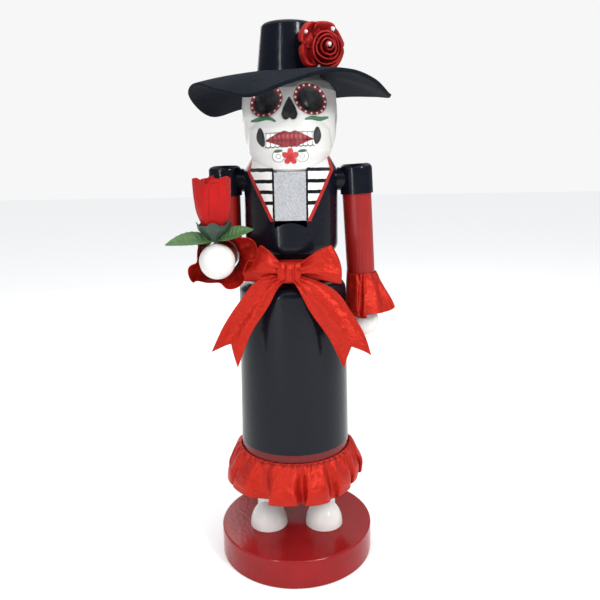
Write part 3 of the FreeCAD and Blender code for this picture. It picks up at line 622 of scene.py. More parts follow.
def paint_mouth(paint):
    x, z = paint.x, paint.z
    upper, middle, lower = lip_band(x)
    span = inside(np.abs(x - 0.2) - 13.9)
    top = 286.4 + 0.03 * x
    bottom = 278.5 + 0.04 * x
    teeth = span * inside(z - top) * inside(bottom - z)
    paint.lay(teeth, CHALK)
    gap = np.abs((x + 1.3) % 2.6 - 1.3) - 0.17
    paint.lay(teeth * inside(gap), INK)
    jag = 0.5 * np.abs((x + 1.3) % 2.6 - 1.3)
    paint.lay(span * inside(np.abs(z - top) - 0.22), INK)
    paint.lay(span * inside(np.abs(z - bottom + jag - 0.3) - 0.34), INK)
    lips = inside(z - upper) * inside(lower - z) * inside(np.abs(x - 0.2) - 13.4)
    paint.lay(lips, LIP_RED)
    streak = 0.5 + 0.5 * np.sin(x * 2.6 + 0.6 * np.sin(z))
    paint.lay(lips * 0.75 * streak, (0.115, 0.006, 0.012))
    paint.lay(lips * 0.55 * inside(np.abs(z - 284.2) - 0.9, 1.0) * (1 - streak), (0.55, 0.12, 0.12))
    paint.lay(lips * inside(np.abs(z - middle) - 0.22), (0.03, 0.004, 0.008))
    rim = np.minimum(np.abs(z - upper), np.abs(z - lower))
    paint.lay(lips * inside(rim - 0.25), (0.08, 0.004, 0.010))
    paint.lay(inside(stroke(x, z, [(-16.8, 288.2), (-16.4, 284.2), (-14.8, 279.6)], 2.3) - 0.15), INK)
    paint.lay(inside(stroke(x, z, [(16.4, 288.6), (16.0, 285.0), (15.3, 280.9)], 2.2) - 0.15), INK)


def paint_chin(paint):
    x, z = paint.x, paint.z
    for centre in (-6.3, 7.3):
        for radius in (3.4, 1.3):
            ring = np.hypot(x - centre, (z - 272.9) * 1.05)
            paint.lay(inside(ring - radius), CHALK)
            paint.lay(inside(np.abs(ring - radius) - 0.17), INK)
        paint.lay(inside(oval(x, z, centre, 275.9, 2.5, 0.95, 8)), LEAF_GREEN)
    for step in range(5):
        angle = math.radians(90 + 72 * step)
        px, pz = 0.6 + 2.9 * math.cos(angle), 272.7 + 2.9 * math.sin(angle)
        distance = oval(x, z, px, pz, 1.85, 1.5, 90 + 72 * step)
        paint.lay(inside(distance - 0.18), (0.13, 0.008, 0.012))
        paint.lay(inside(distance), FLOWER_RED)
    core = np.hypot(x - 0.6, z - 272.7)
    paint.lay(inside(core - 1.5), FLOWER_RED)
    paint.lay(inside(np.abs(core - 0.9) - 0.18), (0.12, 0.008, 0.012))


def carve_skull(points):
    """Pushes the sockets, nose, temples and mouth in, and the cheekbones and brow out."""
    x, y, z = points.T
    front = ease(-y, 3.0, 9.0)
    push = np.zeros(len(x))
    for centre_x, centre_z, tilt in EYES:
        distance = oval(x, z, centre_x, centre_z, EYE_LONG - 0.9, EYE_SHORT - 0.9, tilt)
        push += 2.8 * ease(-distance, -0.9, 3.2)
        push -= 0.7 * np.exp(-((distance - 1.6) ** 2) / 2.5)
    push += 2.2 * ease(-nose_distance(x, z), -0.3, 1.1)
    for side in (-1, 1):
        push -= 1.1 * np.exp(-((x - side * 17) ** 2) / 45 - (z - 293.5) ** 2 / 14)
        push += 1.3 * np.exp(-((x - side * 19) ** 2) / 30 - (z - 283.0) ** 2 / 30)
    upper, _, lower = lip_band(x)
    lips = np.minimum(upper - z, z - lower)
    push -= 0.7 * ease(lips, -0.2, 1.5) * (np.abs(x) < 13.5)
    teeth = (np.abs(x) < 13.6) * ease(z, 278.0, 278.8) * ease(-z, -287.0, -286.2)
    push -= 0.35 * teeth * np.abs(np.cos(math.pi * x / 2.6))
    push -= 0.8 * np.exp(-(x**2) / 60 - (z - 272.0) ** 2 / 18)
    y = y + push * front
    x = x * (1 + 0.055 * np.exp(-((z - 278.5) ** 2) / 110))
    for side in (-1, 1):
        hollow = np.exp(-((y + 4.0) ** 2) / 26 - (z - 296.5) ** 2 / 16) * (x * side > 20)
        x = x - side * 2.0 * hollow
    return combined(x, y, z), hollow_shade(points)


def hollow_shade(points):
    """How deep in a temple hollow each point lies, from 0 to 1; it sets the painted shade laid there."""
    x, y, z = points.T
    return np.exp(-((y + 4.0) ** 2) / 20 - (z - 296.5) ** 2 / 13) * (np.abs(x) > 20)


def remeshed_copy(name, node, voxel):
    """An even mesh over a CAD node's solid."""
    piece = bpy.data.objects.new(name, NODES[node].data.copy())
    bpy.context.scene.collection.objects.link(piece)
    piece.modifiers.new("even", "REMESH").voxel_size = voxel * MM
    graph = bpy.context.evaluated_depsgraph_get()
    mesh = bpy.data.meshes.new_from_object(piece.evaluated_get(graph))
    piece.modifiers.clear()
    piece.data = mesh
    return piece


def make_skull():
    piece = remeshed_copy("skull_carved", "skull", 0.36)
    mesh = piece.data
    flat = np.zeros(len(mesh.vertices) * 3)
    mesh.vertices.foreach_get("co", flat)
    rest = flat.reshape(-1, 3) / MM
    points, hollow = carve_skull(rest)
    paint = Paint(*rest.T)
    paint_eyes(paint)
    paint_nose(paint)
    paint_leaves(paint)
    paint_mouth(paint)
    paint_chin(paint)
    # Near-black laid into the temple hollows is a painted shade.
    shade = (0.45 * hollow)[:, None]
    rgb = paint.rgb * (1 - shade) + np.array((0.06, 0.06, 0.05)) * shade
    layer = mesh.attributes.new("paint", "FLOAT_COLOR", "POINT")
    layer.data.foreach_set("color", np.concatenate([rgb, np.ones((len(rgb), 1))], 1).ravel())
    mesh.vertices.foreach_set("co", (points * MM).ravel())
    mesh.materials.clear()
    mesh.materials.append(SKULL)
    mesh.shade_smooth()
    stand_for(piece, "skull")


# ---- satin: hem, cuffs, waist and bow ----


def gathers(theta, lobes, seed):
    """An uneven running wave round a ring: how far along its folds each angle is."""
    drift = np.sin(2 * theta + seed) + 0.7 * np.sin(3 * theta + 2.3 * seed)
    return lobes * theta + 0.9 * drift + 0.5 * np.sin(5 * theta + seed)


HEM_LOBES = 13
HEM_INNER = 37.6  # just outside the skirt
HEM_TOP = 79.8
HEM_DROP = 25.8


def make_hem():
    """The gathered ruffle: puckered at its seam, rolling into full folds at its free edge."""
    theta = np.linspace(0, 2 * math.pi, 1080, endpoint=False)[None, :]
    t = np.linspace(0, 1, 56)[:, None]
    drift = 0.6 * t * np.sin(2 * theta + 0.6) + 0.7 * t * np.sin(5 * theta + 2.0)
    phase = gathers(theta, HEM_LOBES, 0.8) + drift
    size = 1 + 0.45 * np.sin(3 * theta + 0.7) + 0.25 * np.sin(7 * theta + 2.1)
    grown = ease(t, 0.0, 0.75)
    wave = np.sin(phase) + 0.28 * np.sin(2 * phase + 0.9)
    minor = 0.85 * np.sin(2.0 * phase + 1.1 + 2.4 * t) * ease(t, 0.0, 0.3) * (1 - 0.65 * t)
    pucker = 0.5 * np.exp(-(((t - 0.07) / 0.07) ** 2)) * np.sin(4 * phase)
    flare = 7.2 * np.sin(0.5 * math.pi * np.minimum(t * 1.3, 1)) - 0.6 * t**3
    radius = HEM_INNER + flare + 3.3 * grown * size * wave + minor + pucker
    radius = radius + 1.9 * t * np.cos(theta - 3.35)
    radius = np.maximum(radius, HEM_INNER)
    sway = 3.2 * t**1.4 * np.cos(phase - 0.5) + 1.5 * t**1.4 * size * np.sin(2 * phase)
    turn = theta - sway / 46
    lift = 1.1 * t**1.5 * wave + 1.5 * t * np.sin(theta * 3 + 1.0)
    at_sides = np.abs(np.cos(theta)) ** 3
    curl = at_sides * (3.4 * t + 2.4 * np.exp(-(((t - 0.16) / 0.14) ** 2)))
    height = HEM_TOP - HEM_DROP * t + lift + curl
    grid = combined(radius * np.cos(turn), radius * np.sin(turn), height)
    piece = surface("hem_satin", [grid], SATIN, SATIN_THICK, wrap=True)
    stand_for(piece, "hem_ruffle")
    thread = make_hem_thread()


def make_hem_thread():
    """The gathering thread: a dark wiggling line sewn along the seam."""
    theta = np.linspace(0, 2 * math.pi, 1200, endpoint=False)
    phase = gathers(theta, HEM_LOBES, 0.8)
    radius = HEM_INNER + 1.3 + 0.35 * np.sin(4 * phase)
    height = HEM_TOP - 1.0 + 0.5 * np.sin(7 * phase) + 0.4 * np.sin(3 * theta)
    centre = combined(radius * np.cos(theta), radius * np.sin(theta), height)
    outward = combined(np.cos(theta), np.sin(theta), 0.0)
    rings = []
    for side in np.linspace(0, 2 * math.pi, 7)[:-1]:
        rings.append(centre + 0.22 * (math.cos(side) * outward + math.sin(side) * np.array((0, 0, 1))))
    grid = np.stack(rings + [rings[0]])
    quads, _ = grid_faces(*grid.shape[:2], True)
    piece = new_mesh("hem_thread", grid, quads, DARK_THREAD)
    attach(piece, "figure")
    return piece


CUFF_LEFT_TOP = 198.6
CUFF_LEFT_INNER = 9.8


def make_cuff_left():
    """The flared frill at the straight arm's wrist, pressed flat where it meets the skirt."""
    theta = np.linspace(0, 2 * math.pi, 420, endpoint=False)[None, :]
    t = np.linspace(0, 1, 44)[:, None]
    phase = gathers(theta, 4, 2.1)
    flare = around(
        np.degrees(theta[0]),
        [
            (0, 21.5),
            (40, 17),
            (80, 16),
            (130, 16),
            (180, 14),
            (225, 15.5),
            (262, 19.5),
            (300, 17),
            (335, 19),
        ],
    )[:, 0]
    pucker = 0.5 * np.exp(-(((t - 0.1) / 0.08) ** 2)) * np.sin(3 * phase)
    radius = CUFF_LEFT_INNER + (flare[None, :] - CUFF_LEFT_INNER) * ease(t, -0.1, 1.15) + pucker
    radius = radius + 1.8 * ease(t) * np.sin(phase) + 0.9 * np.sin(2 * phase + 1 + 2 * t) * ease(t, 0, 0.4)
    turn = theta - 0.14 * t**1.2 * np.sin(2 * phase) - 0.10 * t * np.cos(phase)
    drop = 26.5 * t - 1.2 * t**2 * np.sin(phase) - 2.0 * t * np.cos(theta)
    centre_x = 45.4 + 0.056 * drop
    x = centre_x + radius * np.cos(turn)
    y = radius * np.sin(turn)
    z = CUFF_LEFT_TOP - drop
    reach = np.hypot(x, y)
    room = np.maximum(36.4 / reach, 1)
    grid = combined(x * room, y * room, z)
    piece = surface("cuff_left_satin", [grid], SATIN, SATIN_THICK, wrap=True)
    stand_for(piece, "cuff_left")


WRIST_RIGHT = (-42, 214.5)


def make_cuff_right():
    """The frill round the raised wrist, opening towards the viewer in deep uneven lobes."""
    theta = np.linspace(0, 2 * math.pi, 480, endpoint=False)[None, :]
    t = np.linspace(0, 1, 48)[:, None]
    edge = around(
        np.degrees(theta[0]),
        [
            (20, 23.5),
            (40, 19),
            (62, 15),
            (92, 13.5),
            (122, 18.5),
            (150, 13.5),
            (181, 12.5),
            (212, 20.5),
            (234, 16),
            (262, 13),
            (306, 19.5),
            (345, 16),
        ],
    )[:, 0]
    phase = gathers(theta, 8, 0.4)
    opened = ease(t, 0.42, 1.0)
    radius = 10.3 + 1.4 * ease(t, 0, 0.4) + (edge[None, :] - 11.7) * opened
    radius = radius + 0.5 * np.sin(phase) * ease(t, 0.0, 0.3) * (1 - 0.8 * opened)
    turn = theta - 0.09 * opened * np.sin(phase - 0.6)
    fold = (1.1 * np.sin(phase) + 0.5 * np.sin(2 * phase + 1.0)) * np.sin(math.pi * ease(t, 0.35, 1.1))
    forward = 28.2 + 21.5 * t - 2.0 * opened * (edge[None, :] - 17) / 6 + fold
    x = WRIST_RIGHT[0] + radius * np.cos(turn)
    z = WRIST_RIGHT[1] + radius * np.sin(turn)
    grid = combined(x, -forward, z)
    piece = surface("cuff_right_satin", [grid], SATIN, SATIN_THICK, wrap=True)
    stand_for(piece, "cuff_right")


def make_waist_ribbon():
    """The satin band round the waist, creased where it is pulled tight."""
    theta = np.linspace(0, 2 * math.pi, 360, endpoint=False)[None, :]
    t = np.linspace(0, 1, 30)[:, None]
    height = 196.2 + 14.0 * t + 0.5 * np.sin(3 * theta)
    crease = 0.45 * np.sin(9 * t + 1.2 * np.sin(2 * theta)) * (0.5 + 0.5 * np.sin(theta * 2 + 1))
    radius = 24.5 + crease + 0.25 * np.sin(14 * t)
    grid = combined(radius * np.cos(theta), radius * np.sin(theta), height)
    piece = surface("waist_satin", [grid], SATIN, SATIN_THICK, wrap=True)
    stand_for(piece, "waist_ribbon")


def loop_grid(top, bottom, bulge, front, back, crease_seed):
    """A flattened ribbon loop: out along its front, round its end and home along its back."""
    angle = np.linspace(0, math.pi, 150)
    s = np.sin(angle)
    upper = along(s, *top)
    lower = along(s, *bottom)
    t = np.linspace(0, 1, 46)[:, None]
    x = lower[:, 0] + (upper[:, 0] - lower[:, 0]) * t
    z = lower[:, 1] + (upper[:, 1] - lower[:, 1]) * t
    x = x + bulge * s**2 * np.sin(math.pi * t)
    middle, half = (front + back) / 2, (back - front) / 2
    puff = half * (0.55 + 0.45 * ease(s, 0, 0.6)) * (0.72 + 0.28 * np.sin(math.pi * t))
    y = middle - np.cos(angle) * puff
    pleat = 1.0 * np.exp(-2.4 * s) * np.cos(2 * math.pi * 2.6 * t + crease_seed)
    long_crease = 1.1 * (1 - 0.7 * s) * np.cos(2 * math.pi * 1.3 * t + crease_seed + 3.0 * s)
    y = y - (pleat + long_crease) * np.sign(np.cos(angle)) * ease(np.abs(np.cos(angle)), 0, 0.5)
    z = z - 2.2 * ease(-np.cos(angle), 0, 1) * s * (1 - t)
    return combined(x, y, z)


def make_bow_loops():
    left = loop_grid(
        [(-6.0, 209.6), (-9.5, 213.6), (-13.0, 217.3), (-18.0, 221.4)],
        [(-6.0, 200.6), (-13.0, 201.0), (-21.0, 200.4), (-31.4, 200.0)],
        -2.4,
        -40.0,
        -31.2,
        0.6,
    )
    right = loop_grid(
        [(4.8, 209.6), (11.0, 213.8), (17.0, 217.6), (24.2, 220.8)],
        [(4.8, 202.4), (13.0, 201.4), (21.0, 199.4), (30.0, 197.0)],
        2.6,
        -40.2,
        -31.2,
        2.2,
    )
    for name, node, grid in (
        ("loop_right_satin", "bow_loop_right", left),
        ("loop_left_satin", "bow_loop_left", right),
    ):
        piece = surface(name, [grid], SATIN, SATIN_THICK)
        stand_for(piece, node)


def tail_grid(outer, inner, notch, lift, seed):
    """A swallow-tailed ribbon end between two edges, waving along its length."""
    s = np.linspace(0, 1, 90)[:, None]
    t = np.linspace(0, 1, 50)[None, :]
    reach = s * (1 - notch * (1 - np.abs(2 * t - 1)) * ease(s, 0.35, 1.0))
    out_line = along(reach.ravel(), *outer).reshape(*reach.shape, 2)
    in_line = along(reach.ravel(), *inner).reshape(*reach.shape, 2)
    flat = out_line + (in_line - out_line) * t[..., None]
    fold = np.sin(2 * math.pi * (1.15 * t + 0.12) + seed + 1.4 * s)
    pleat = 0.7 * np.exp(-4 * s) * np.cos(2 * math.pi * 3 * t)
    curl = lift * ease(s, 0.55, 1.0) * (np.abs(2 * t - 1)) ** 2
    y = -38.6 - 1.3 * (1 + fold) * ease(s, 0.02, 0.5) - pleat - curl
    return combined(flat[..., 0], y, flat[..., 1])


def make_bow_tails():
    left = tail_grid(
        [(-8.0, 203.0), (-20.0, 200.6), (-31.7, 187.7), (-41.8, 172.8), (-49.4, 157.2)],
        [(-2.5, 200.5), (-6.4, 197.5), (-14.0, 184.9), (-24.4, 169.3), (-34.0, 146.4)],
        0.16,
        1.6,
        0.3,
    )
    right = tail_grid(
        [(4.8, 203.0), (12.8, 200.4), (26.2, 193.6), (36.5, 179.1), (44.4, 165.1), (48.2, 152.9)],
        [(0.3, 200.5), (2.2, 197.6), (10.9, 180.8), (22.4, 163.5), (31.4, 145.0)],
        0.16,
        1.6,
        2.4,
    )
    for name, node, grid in (
        ("tail_right_satin", "bow_tail_right", left),
        ("tail_left_satin", "bow_tail_left", right),
    ):
        piece = surface(name, [grid], SATIN, SATIN_THICK)
        stand_for(piece, node)


KNOT = (-1.4, -33.4, 204.6)


def make_knot():
    """The ribbon wrapped over the middle of the bow, pinched into upright creases."""
    angle = np.linspace(0, 2 * math.pi, 120, endpoint=False)[:, None]
    t = np.linspace(-1, 1, 60)[None, :]
    swell = 1 - 0.28 * np.abs(t) ** 3
    crease = 0.55 * np.cos(2 * math.pi * 1.25 * t + 0.4) - 0.25 * np.cos(2 * math.pi * 2.5 * t)
    depth = (6.6 * swell + crease) * np.sign(np.cos(angle)) * np.abs(np.cos(angle)) ** 0.7
    rise = 6.9 * (1 - 0.10 * np.abs(t) ** 2) * np.sign(np.sin(angle)) * np.abs(np.sin(angle)) ** 0.75
    x = KNOT[0] + 7.2 * t * (1 - 0.14 * np.cos(angle) ** 2 * (1 - np.abs(t)))
    grid = combined(x, KNOT[1] - depth, KNOT[2] + rise)
    grid = np.swapaxes(grid, 0, 1)
    piece = surface("knot_satin", [grid], SATIN, SATIN_THICK, wrap=True)
    stand_for(piece, "bow_knot")


# ---- hat ----

BRIM_INNER = 20.4
BRIM_ROOT = 322.0

# Degrees round the brim, the radius of its cut edge and the height of its upper face there.
BRIM_RIM = [
    (0, 63.0, 310.0),
    (25, 62.0, 313.5),
    (50, 61.0, 316.0),
    (90, 60.0, 313.0),
    (125, 59.0, 309.0),
    (150, 61.0, 302.5),
    (178, 62.5, 311.0),
    (206, 60.0, 315.5),
    (230, 59.5, 309.5),
    (250, 59.5, 305.5),
    (270, 59.5, 311.5),
    (288, 59.5, 317.0),
    (305, 60.0, 318.5),
    (322, 61.5, 315.0),
    (340, 62.5, 309.3),
]


def make_brim():
    """The felt brim: flat under the crown, dipping and lifting in one wavy sheet to its cut edge."""
    theta = np.linspace(0, 2 * math.pi, 480, endpoint=False)
    rim = around(np.degrees(theta), BRIM_RIM)
    t = np.linspace(0, 1, 60)[:, None]
    radius = BRIM_INNER + (rim[:, 0] - BRIM_INNER) * t
    fall = 0.25 * t + 0.75 * t**2
    height = BRIM_ROOT + (rim[:, 1] - 1.0 - BRIM_ROOT) * fall
    height = height + 0.35 * np.sin(5 * theta) * np.sin(math.pi * t)
    grid = combined(radius * np.cos(theta), radius * np.sin(theta), height)
    piece = surface("brim_felt", [grid], FELT, FELT_THICK, wrap=True)
    stand_for(piece, "hat_brim")


ROSE_CENTRE = np.array((20.6, -18.0, 334.6))
ROSE_FACING = math.radians(-66)
ROSE_OUT = np.array((math.cos(ROSE_FACING), math.sin(ROSE_FACING), 0.12))
ROSE_SIDE = np.array((-math.sin(ROSE_FACING), math.cos(ROSE_FACING), 0))


def rose_place(side, up, out):
    """Points on the hat's rose from sideways, upward and outward distances."""
    return (
        ROSE_CENTRE
        + side[..., None] * ROSE_SIDE
        + up[..., None] * np.array((0, 0, 1))
        + out[..., None] * ROSE_OUT
    )


# Each petal of the hat's rose: where it points, how far out its tip is, and half its width.
HAT_PETALS = (
    (146, 17.0, 7.4),
    (92, 14.5, 7.0),
    (38, 13.0, 6.8),
    (204, 16.0, 7.2),
    (262, 12.4, 7.2),
    (322, 12.8, 7.0),
)


def make_hat_petals():
    """Folded ribbon petals on a backing disc, each a rounded scoop with a rolled lip."""
    theta = np.linspace(0, 2 * math.pi, 60)[None, :]
    reach = np.linspace(0.1, 8.5, 12)[:, None]
    grids = [rose_place(reach * np.cos(theta), reach * np.sin(theta), np.full((12, 60), 0.3))]
    p = np.linspace(-1, 1, 40)[None, :]
    q = np.linspace(0, 1, 40)[:, None]
    for degrees, reach, half in HAT_PETALS:
        turn = math.radians(degrees)
        width = half * (0.42 + 0.58 * np.sin(0.5 * math.pi * np.minimum(q * 1.35, 1)))
        across = width * np.sin(0.5 * math.pi * p) * (1 - 0.16 * q**3)
        outward = reach * (0.25 + 0.75 * q * (1 - 0.30 * np.abs(p) ** 2.2))
        roll = 2.2 * ease(q, 0.55, 0.9) - 2.4 * ease(q, 0.88, 1.0)
        rise = 0.6 + roll + 1.3 * np.abs(p) ** 2 - 1.0 * np.exp(-((p / 0.35) ** 2)) * (1 - q)
        rise = rise + 0.35 * np.sin(5 * p + degrees) * q
        side = outward * math.cos(turn) - across * math.sin(turn)
        up = outward * math.sin(turn) + across * math.cos(turn)
        grids.append(rose_place(side, up, rise))
    piece = surface("hat_rose_petal_ribbon", grids, ROSE_SATIN, 1.3)
    stand_for(piece, "hat_rose_petals")


def make_hat_coil():
    """The ribbon wound into a rose: four turns, highest at the heart."""
    share = np.linspace(0, 1, 620)[None, :]
    b = np.linspace(0, 1, 16)[:, None]
    angle = 2 * math.pi * 4.1 * share + 0.8
    radius = 0.7 + 8.6 * share**0.92 + 0.45 * share * np.sin(2.6 * angle + 6 * share)
    lean = 0.9 * b**2 * (0.3 + share)
    top = 9.2 - 4.2 * share + 0.5 * np.sin(2.3 * angle)
    out = 0.5 + (top - 0.5) * b
    side = (radius + lean) * np.cos(angle) - 0.4 * share
    up = (radius + lean) * np.sin(angle) - 1.2 * share
    piece = surface("hat_rose_coil_ribbon", [rose_place(side, up, out)], ROSE_SATIN, 1.0)
    stand_for(piece, "hat_rose_coil")


# The stones on the hat's rose: how far sideways, upward and outward each lies.
GEMS = ((-12.3, 7.6, 3.5), (4.2, 9.6, 5.4), (0.0, 0.0, 9.2), (-4.2, -10.8, 3.2))


def make_gems():
    """Four glass stones glued to the ribbon, each a low faceted cone with a flat top."""
    built = bmesh.new()
    turn = Vector(ROSE_OUT).to_track_quat("Z", "Y").to_matrix().to_4x4()
    for side, up, out in GEMS:
        spot = rose_place(np.array(side), np.array(up), np.array(out))
        place = Matrix.Translation(Vector(spot * MM)) @ turn
        bmesh.ops.create_cone(
            built,
            cap_ends=True,
            segments=8,
            radius1=1.4 * MM,
            radius2=0.75 * MM,
            depth=1.2 * MM,
            matrix=place,
        )
    mesh = bpy.data.meshes.new("hat_rhinestones")
    built.to_mesh(mesh)
    built.free()
    mesh.materials.append(GLASS)
    piece = bpy.data.objects.new("hat_rhinestones", mesh)
    bpy.context.scene.collection.objects.link(piece)
    stand_for(piece, "hat_rose_gems")


# ---- rose in the hand ----

BUD = np.array((-43.2, -54.0))
CALYX_RIM = 232.2

# Each outer petal: where it faces, how far it wraps to each side, its radius, its height and its curl.
PETALS = (
    (276, 84, 10.3, 258.2, 0.2),
    (200, 72, 10.5, 261.4, 0.2),
    (335, 74, 9.9, 261.8, 0.2),
    (100, 80, 9.9, 260.8, 0.4),
    (30, 70, 9.5, 261.4, 0.3),
)


def petal_grid(degrees, spread, radius, top, curl):
    """One cupped petal: narrow at the calyx, full at its middle, with a curled and pointed lip."""
    p = np.linspace(-1, 1, 44)[None, :]
    q = np.linspace(0, 1, 48)[:, None]
    turn = math.radians(degrees) + math.radians(spread) * p * (0.75 + 0.25 * q)
    cup = along(q.ravel(), (0, 0.50), (0.15, 0.72), (0.4, 0.93), (0.75, 1.0), (1.0, 1.0))[:, 1:]
    reach = radius * cup + curl * ease(q, 0.82, 1.0) * (0.4 + 0.6 * np.abs(p))
    reach = reach + 0.28 * np.sin(9 * p + 2 * q + degrees) * ease(q, 0.1, 0.5)
    crown = top - CALYX_RIM - 3.8 * np.abs(p) ** 2.6 + 0.5 * np.sin(7 * p + degrees)
    z = CALYX_RIM + crown * q
    x = BUD[0] + reach * np.cos(turn)
    y = BUD[1] + reach * np.sin(turn)
    return combined(x, y, z)


def make_rose():
    petals = surface("rose_outer_petals", [petal_grid(*petal) for petal in PETALS], PETAL, PETAL_THICK)
    stand_for(petals, "rose_petals")
    share = np.linspace(0, 1, 320)[None, :]
    q = np.linspace(0, 1, 36)[:, None]
    angle = 2 * math.pi * 2.3 * share + 0.5
    cup = np.interp(q, [0, 0.3, 0.75, 1.0], [0.45, 0.95, 1.0, 0.86])
    reach = (0.8 + 7.2 * share) * cup + 0.25 * np.sin(3 * angle)
    height = 234.0 + (28.2 - 2.4 * share + 0.7 * np.sin(1.7 * angle)) * q
    x = BUD[0] + reach * np.cos(angle)
    y = BUD[1] + reach * np.sin(angle)
    core = surface("rose_bud", [combined(x, y, height)], PETAL, PETAL_THICK)
    stand_for(core, "rose_core")


def make_calyx():
    """The green cup under the flower: a fluted cone with five short sepals pressed to the petals."""
    theta = np.linspace(0, 2 * math.pi, 240, endpoint=False)[None, :]
    q = np.linspace(0, 1, 48)[:, None]
    base = np.interp(q, [0, 0.12, 0.4, 0.7, 1.0], [1.6, 2.6, 5.4, 8.4, 9.6])
    flute = 1 + 0.05 * np.cos(10 * theta) * (1 - q)
    sepal = 2.8 * np.maximum(np.cos(2.5 * theta + 0.6) ** 2 - 0.35, 0) * ease(q, 0.6, 1.0)
    z = 226.0 + 9.4 * q + sepal
    radius = base * flute + 0.4 * ease(q, 0.8, 1.0) * np.cos(5 * theta)
    x = BUD[0] + radius * np.cos(theta)
    y = BUD[1] + radius * np.sin(theta)
    piece = surface("rose_sepal_cup", [combined(x, y, z)], CALYX, CALYX_THICK, wrap=True)
    stand_for(piece, "rose_calyx")


def leaf_grid(root, tip, half, droop, cup):
    """A toothed leaf from root to tip, folded along its midrib."""
    s = np.linspace(0, 1, 110)[:, None]
    t = np.linspace(-1, 1, 31)[None, :]
    root, tip = np.array(root), np.array(tip)
    ahead = (tip - root) / np.linalg.norm(tip - root)
    side = np.cross(ahead, (0, -0.62, 0.78))
    side = side / np.linalg.norm(side)
    up = np.cross(side, ahead)
    teeth = 1 + 0.10 * np.abs((s * 9) % 1 - 0.3) * np.abs(t) ** 3
    width = half * np.sin(math.pi * s**0.85) ** 0.8 * teeth + 0.25 * (1 - s)
    ribs = 0.18 * np.cos(2 * math.pi * (s * 9 - np.abs(t) * 0.9)) * (1 - np.abs(t))
    rise = cup * np.abs(t) * width / half - droop * (s - 0.5) ** 2 * 4 + droop + ribs
    centre = root + (tip - root) * s[..., None]
    return centre + side * (width * t)[..., None] + up * rise[..., None]


def make_leaves():
    outer = leaf_grid((-43.5, -55.5, 226.6), (-70.5, -57.5, 224.6), 5.0, 2.2, 1.2)
    inner = leaf_grid((-41.0, -55.5, 227.0), (-20.6, -57.0, 232.6), 4.6, 1.2, 1.0)
    for name, node, grid in (
        ("leaf_outer", "rose_leaf_right", outer),
        ("leaf_inner", "rose_leaf_left", inner),
    ):
        piece = surface(name, [grid], LEAF, LEAF_THICK)
        stand_for(piece, node)


def make_bib():
    """The glitter paper on the lever's front, with slightly lifted, rough-cut edges."""
    low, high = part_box("bib_facing")
    x = np.linspace(low.x / MM, high.x / MM, 60)[None, :]
    z = np.linspace(low.z / MM, high.z / MM, 90)[:, None]
    middle = (low.y + high.y) / 2 / MM
    rough = 0.06 * np.sin(3.1 * x + 1.7 * z) + 0.05 * np.sin(5.3 * z - 2.9 * x)
    grid = combined(x + 0.08 * np.sin(2.2 * z), middle + rough, z + 0.08 * np.sin(2.6 * x))
    piece = surface("bib_glitter", [grid], GLITTER, PAPER_THICK)
    stand_for(piece, "bib_facing", "lever")


# ---- stage ----


def aim(thing, target):
    thing.rotation_euler = (Vector(target) - thing.location).to_track_quat("-Z", "Y").to_euler()


def make_camera():
    camera = bpy.data.objects.new("camera", bpy.data.cameras.new("camera"))
    bpy.context.scene.collection.objects.link(camera)
    camera.location = (0.0061, -0.4021, 0.2652)
    camera.rotation_euler = (math.radians(78), math.radians(0.88), 0)
    camera.data.lens = 36.84
    camera.data.sensor_width = 36
    camera.data.clip_start = 0.01
    bpy.context.scene.camera = camera


def make_light(name, where, target, size, watts, colour=(1, 1, 1)):
    lamp = bpy.data.lights.new(name, "AREA")
    lamp.shape = "RECTANGLE"
    lamp.size, lamp.size_y = size
    lamp.energy = watts
    lamp.color = colour
    light = bpy.data.objects.new(name, lamp)
    bpy.context.scene.collection.objects.link(light)
    light.location = where
    aim(light, target)


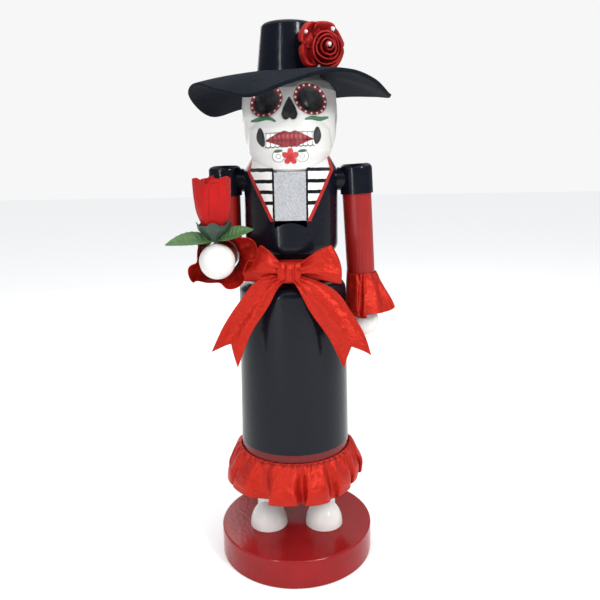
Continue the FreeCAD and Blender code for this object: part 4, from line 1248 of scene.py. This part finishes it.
def make_floor():
    mesh = bpy.data.meshes.new("floor")
    mesh.from_pydata([(-6, -6, 0), (6, -6, 0), (6, 6, 0), (-6, 6, 0)], [], [(0, 1, 2, 3)])
    floor = bpy.data.objects.new("floor", mesh)
    bpy.context.scene.collection.objects.link(floor)
    paper = Finish("studio_paper", Base_Color=(0.93, 0.93, 0.93, 1), Roughness=0.8)
    mesh.materials.append(paper.material)


def make_stage():
    bpy.context.scene.view_settings.view_transform = "Standard"
    make_camera()
    make_floor()
    make_light("key", (0.62, -0.70, 0.80), (0, 0, 0.2), (0.16, 0.34), 7.5)
    make_light("strip", (-0.50, -0.85, 0.42), (0, 0, 0.2), (0.06, 0.70), 3.6, (0.93, 0.96, 1))
    make_light("top", (0.0, -0.1, 1.2), (0, 0, 0.2), (0.8, 0.8), 2.5)
    make_light("back", (-0.4, 0.9, 0.5), (0, 0, 0.2), (0.5, 0.7), 2.5)
    make_sun()
    make_world()


def make_sun():
    """A very soft overhead light that keeps the floor evenly pale."""
    lamp = bpy.data.lights.new("sky", "SUN")
    lamp.energy = 2.2
    lamp.angle = math.radians(120)
    light = bpy.data.objects.new("sky", lamp)
    bpy.context.scene.collection.objects.link(light)


def make_world():
    """White to look at, and dim as a light, so that the lacquer stays dark."""
    world = bpy.data.worlds.new("studio")
    bpy.context.scene.world = world
    world.use_nodes = True
    tree = world.node_tree
    dim = tree.nodes["Background"]
    dim.inputs[0].default_value = (0.90, 0.95, 1.0, 1)
    dim.inputs[1].default_value = 0.28
    white = tree.nodes.new("ShaderNodeBackground")
    white.inputs[0].default_value = (0.93, 0.93, 0.93, 1)
    rays = tree.nodes.new("ShaderNodeLightPath")
    choice = tree.nodes.new("ShaderNodeMixShader")
    tree.links.new(rays.outputs["Is Camera Ray"], choice.inputs[0])
    tree.links.new(dim.outputs[0], choice.inputs[1])
    tree.links.new(white.outputs[0], choice.inputs[2])
    tree.links.new(choice.outputs[0], tree.nodes["World Output"].inputs[0])


finish_cad()
make_stage()
make_skull()
make_hem()
make_cuff_left()
make_cuff_right()
make_waist_ribbon()
make_bow_loops()
make_bow_tails()
make_knot()
make_brim()
make_hat_petals()
make_hat_coil()
make_gems()
make_rose()
make_calyx()
make_leaves()
make_bib()
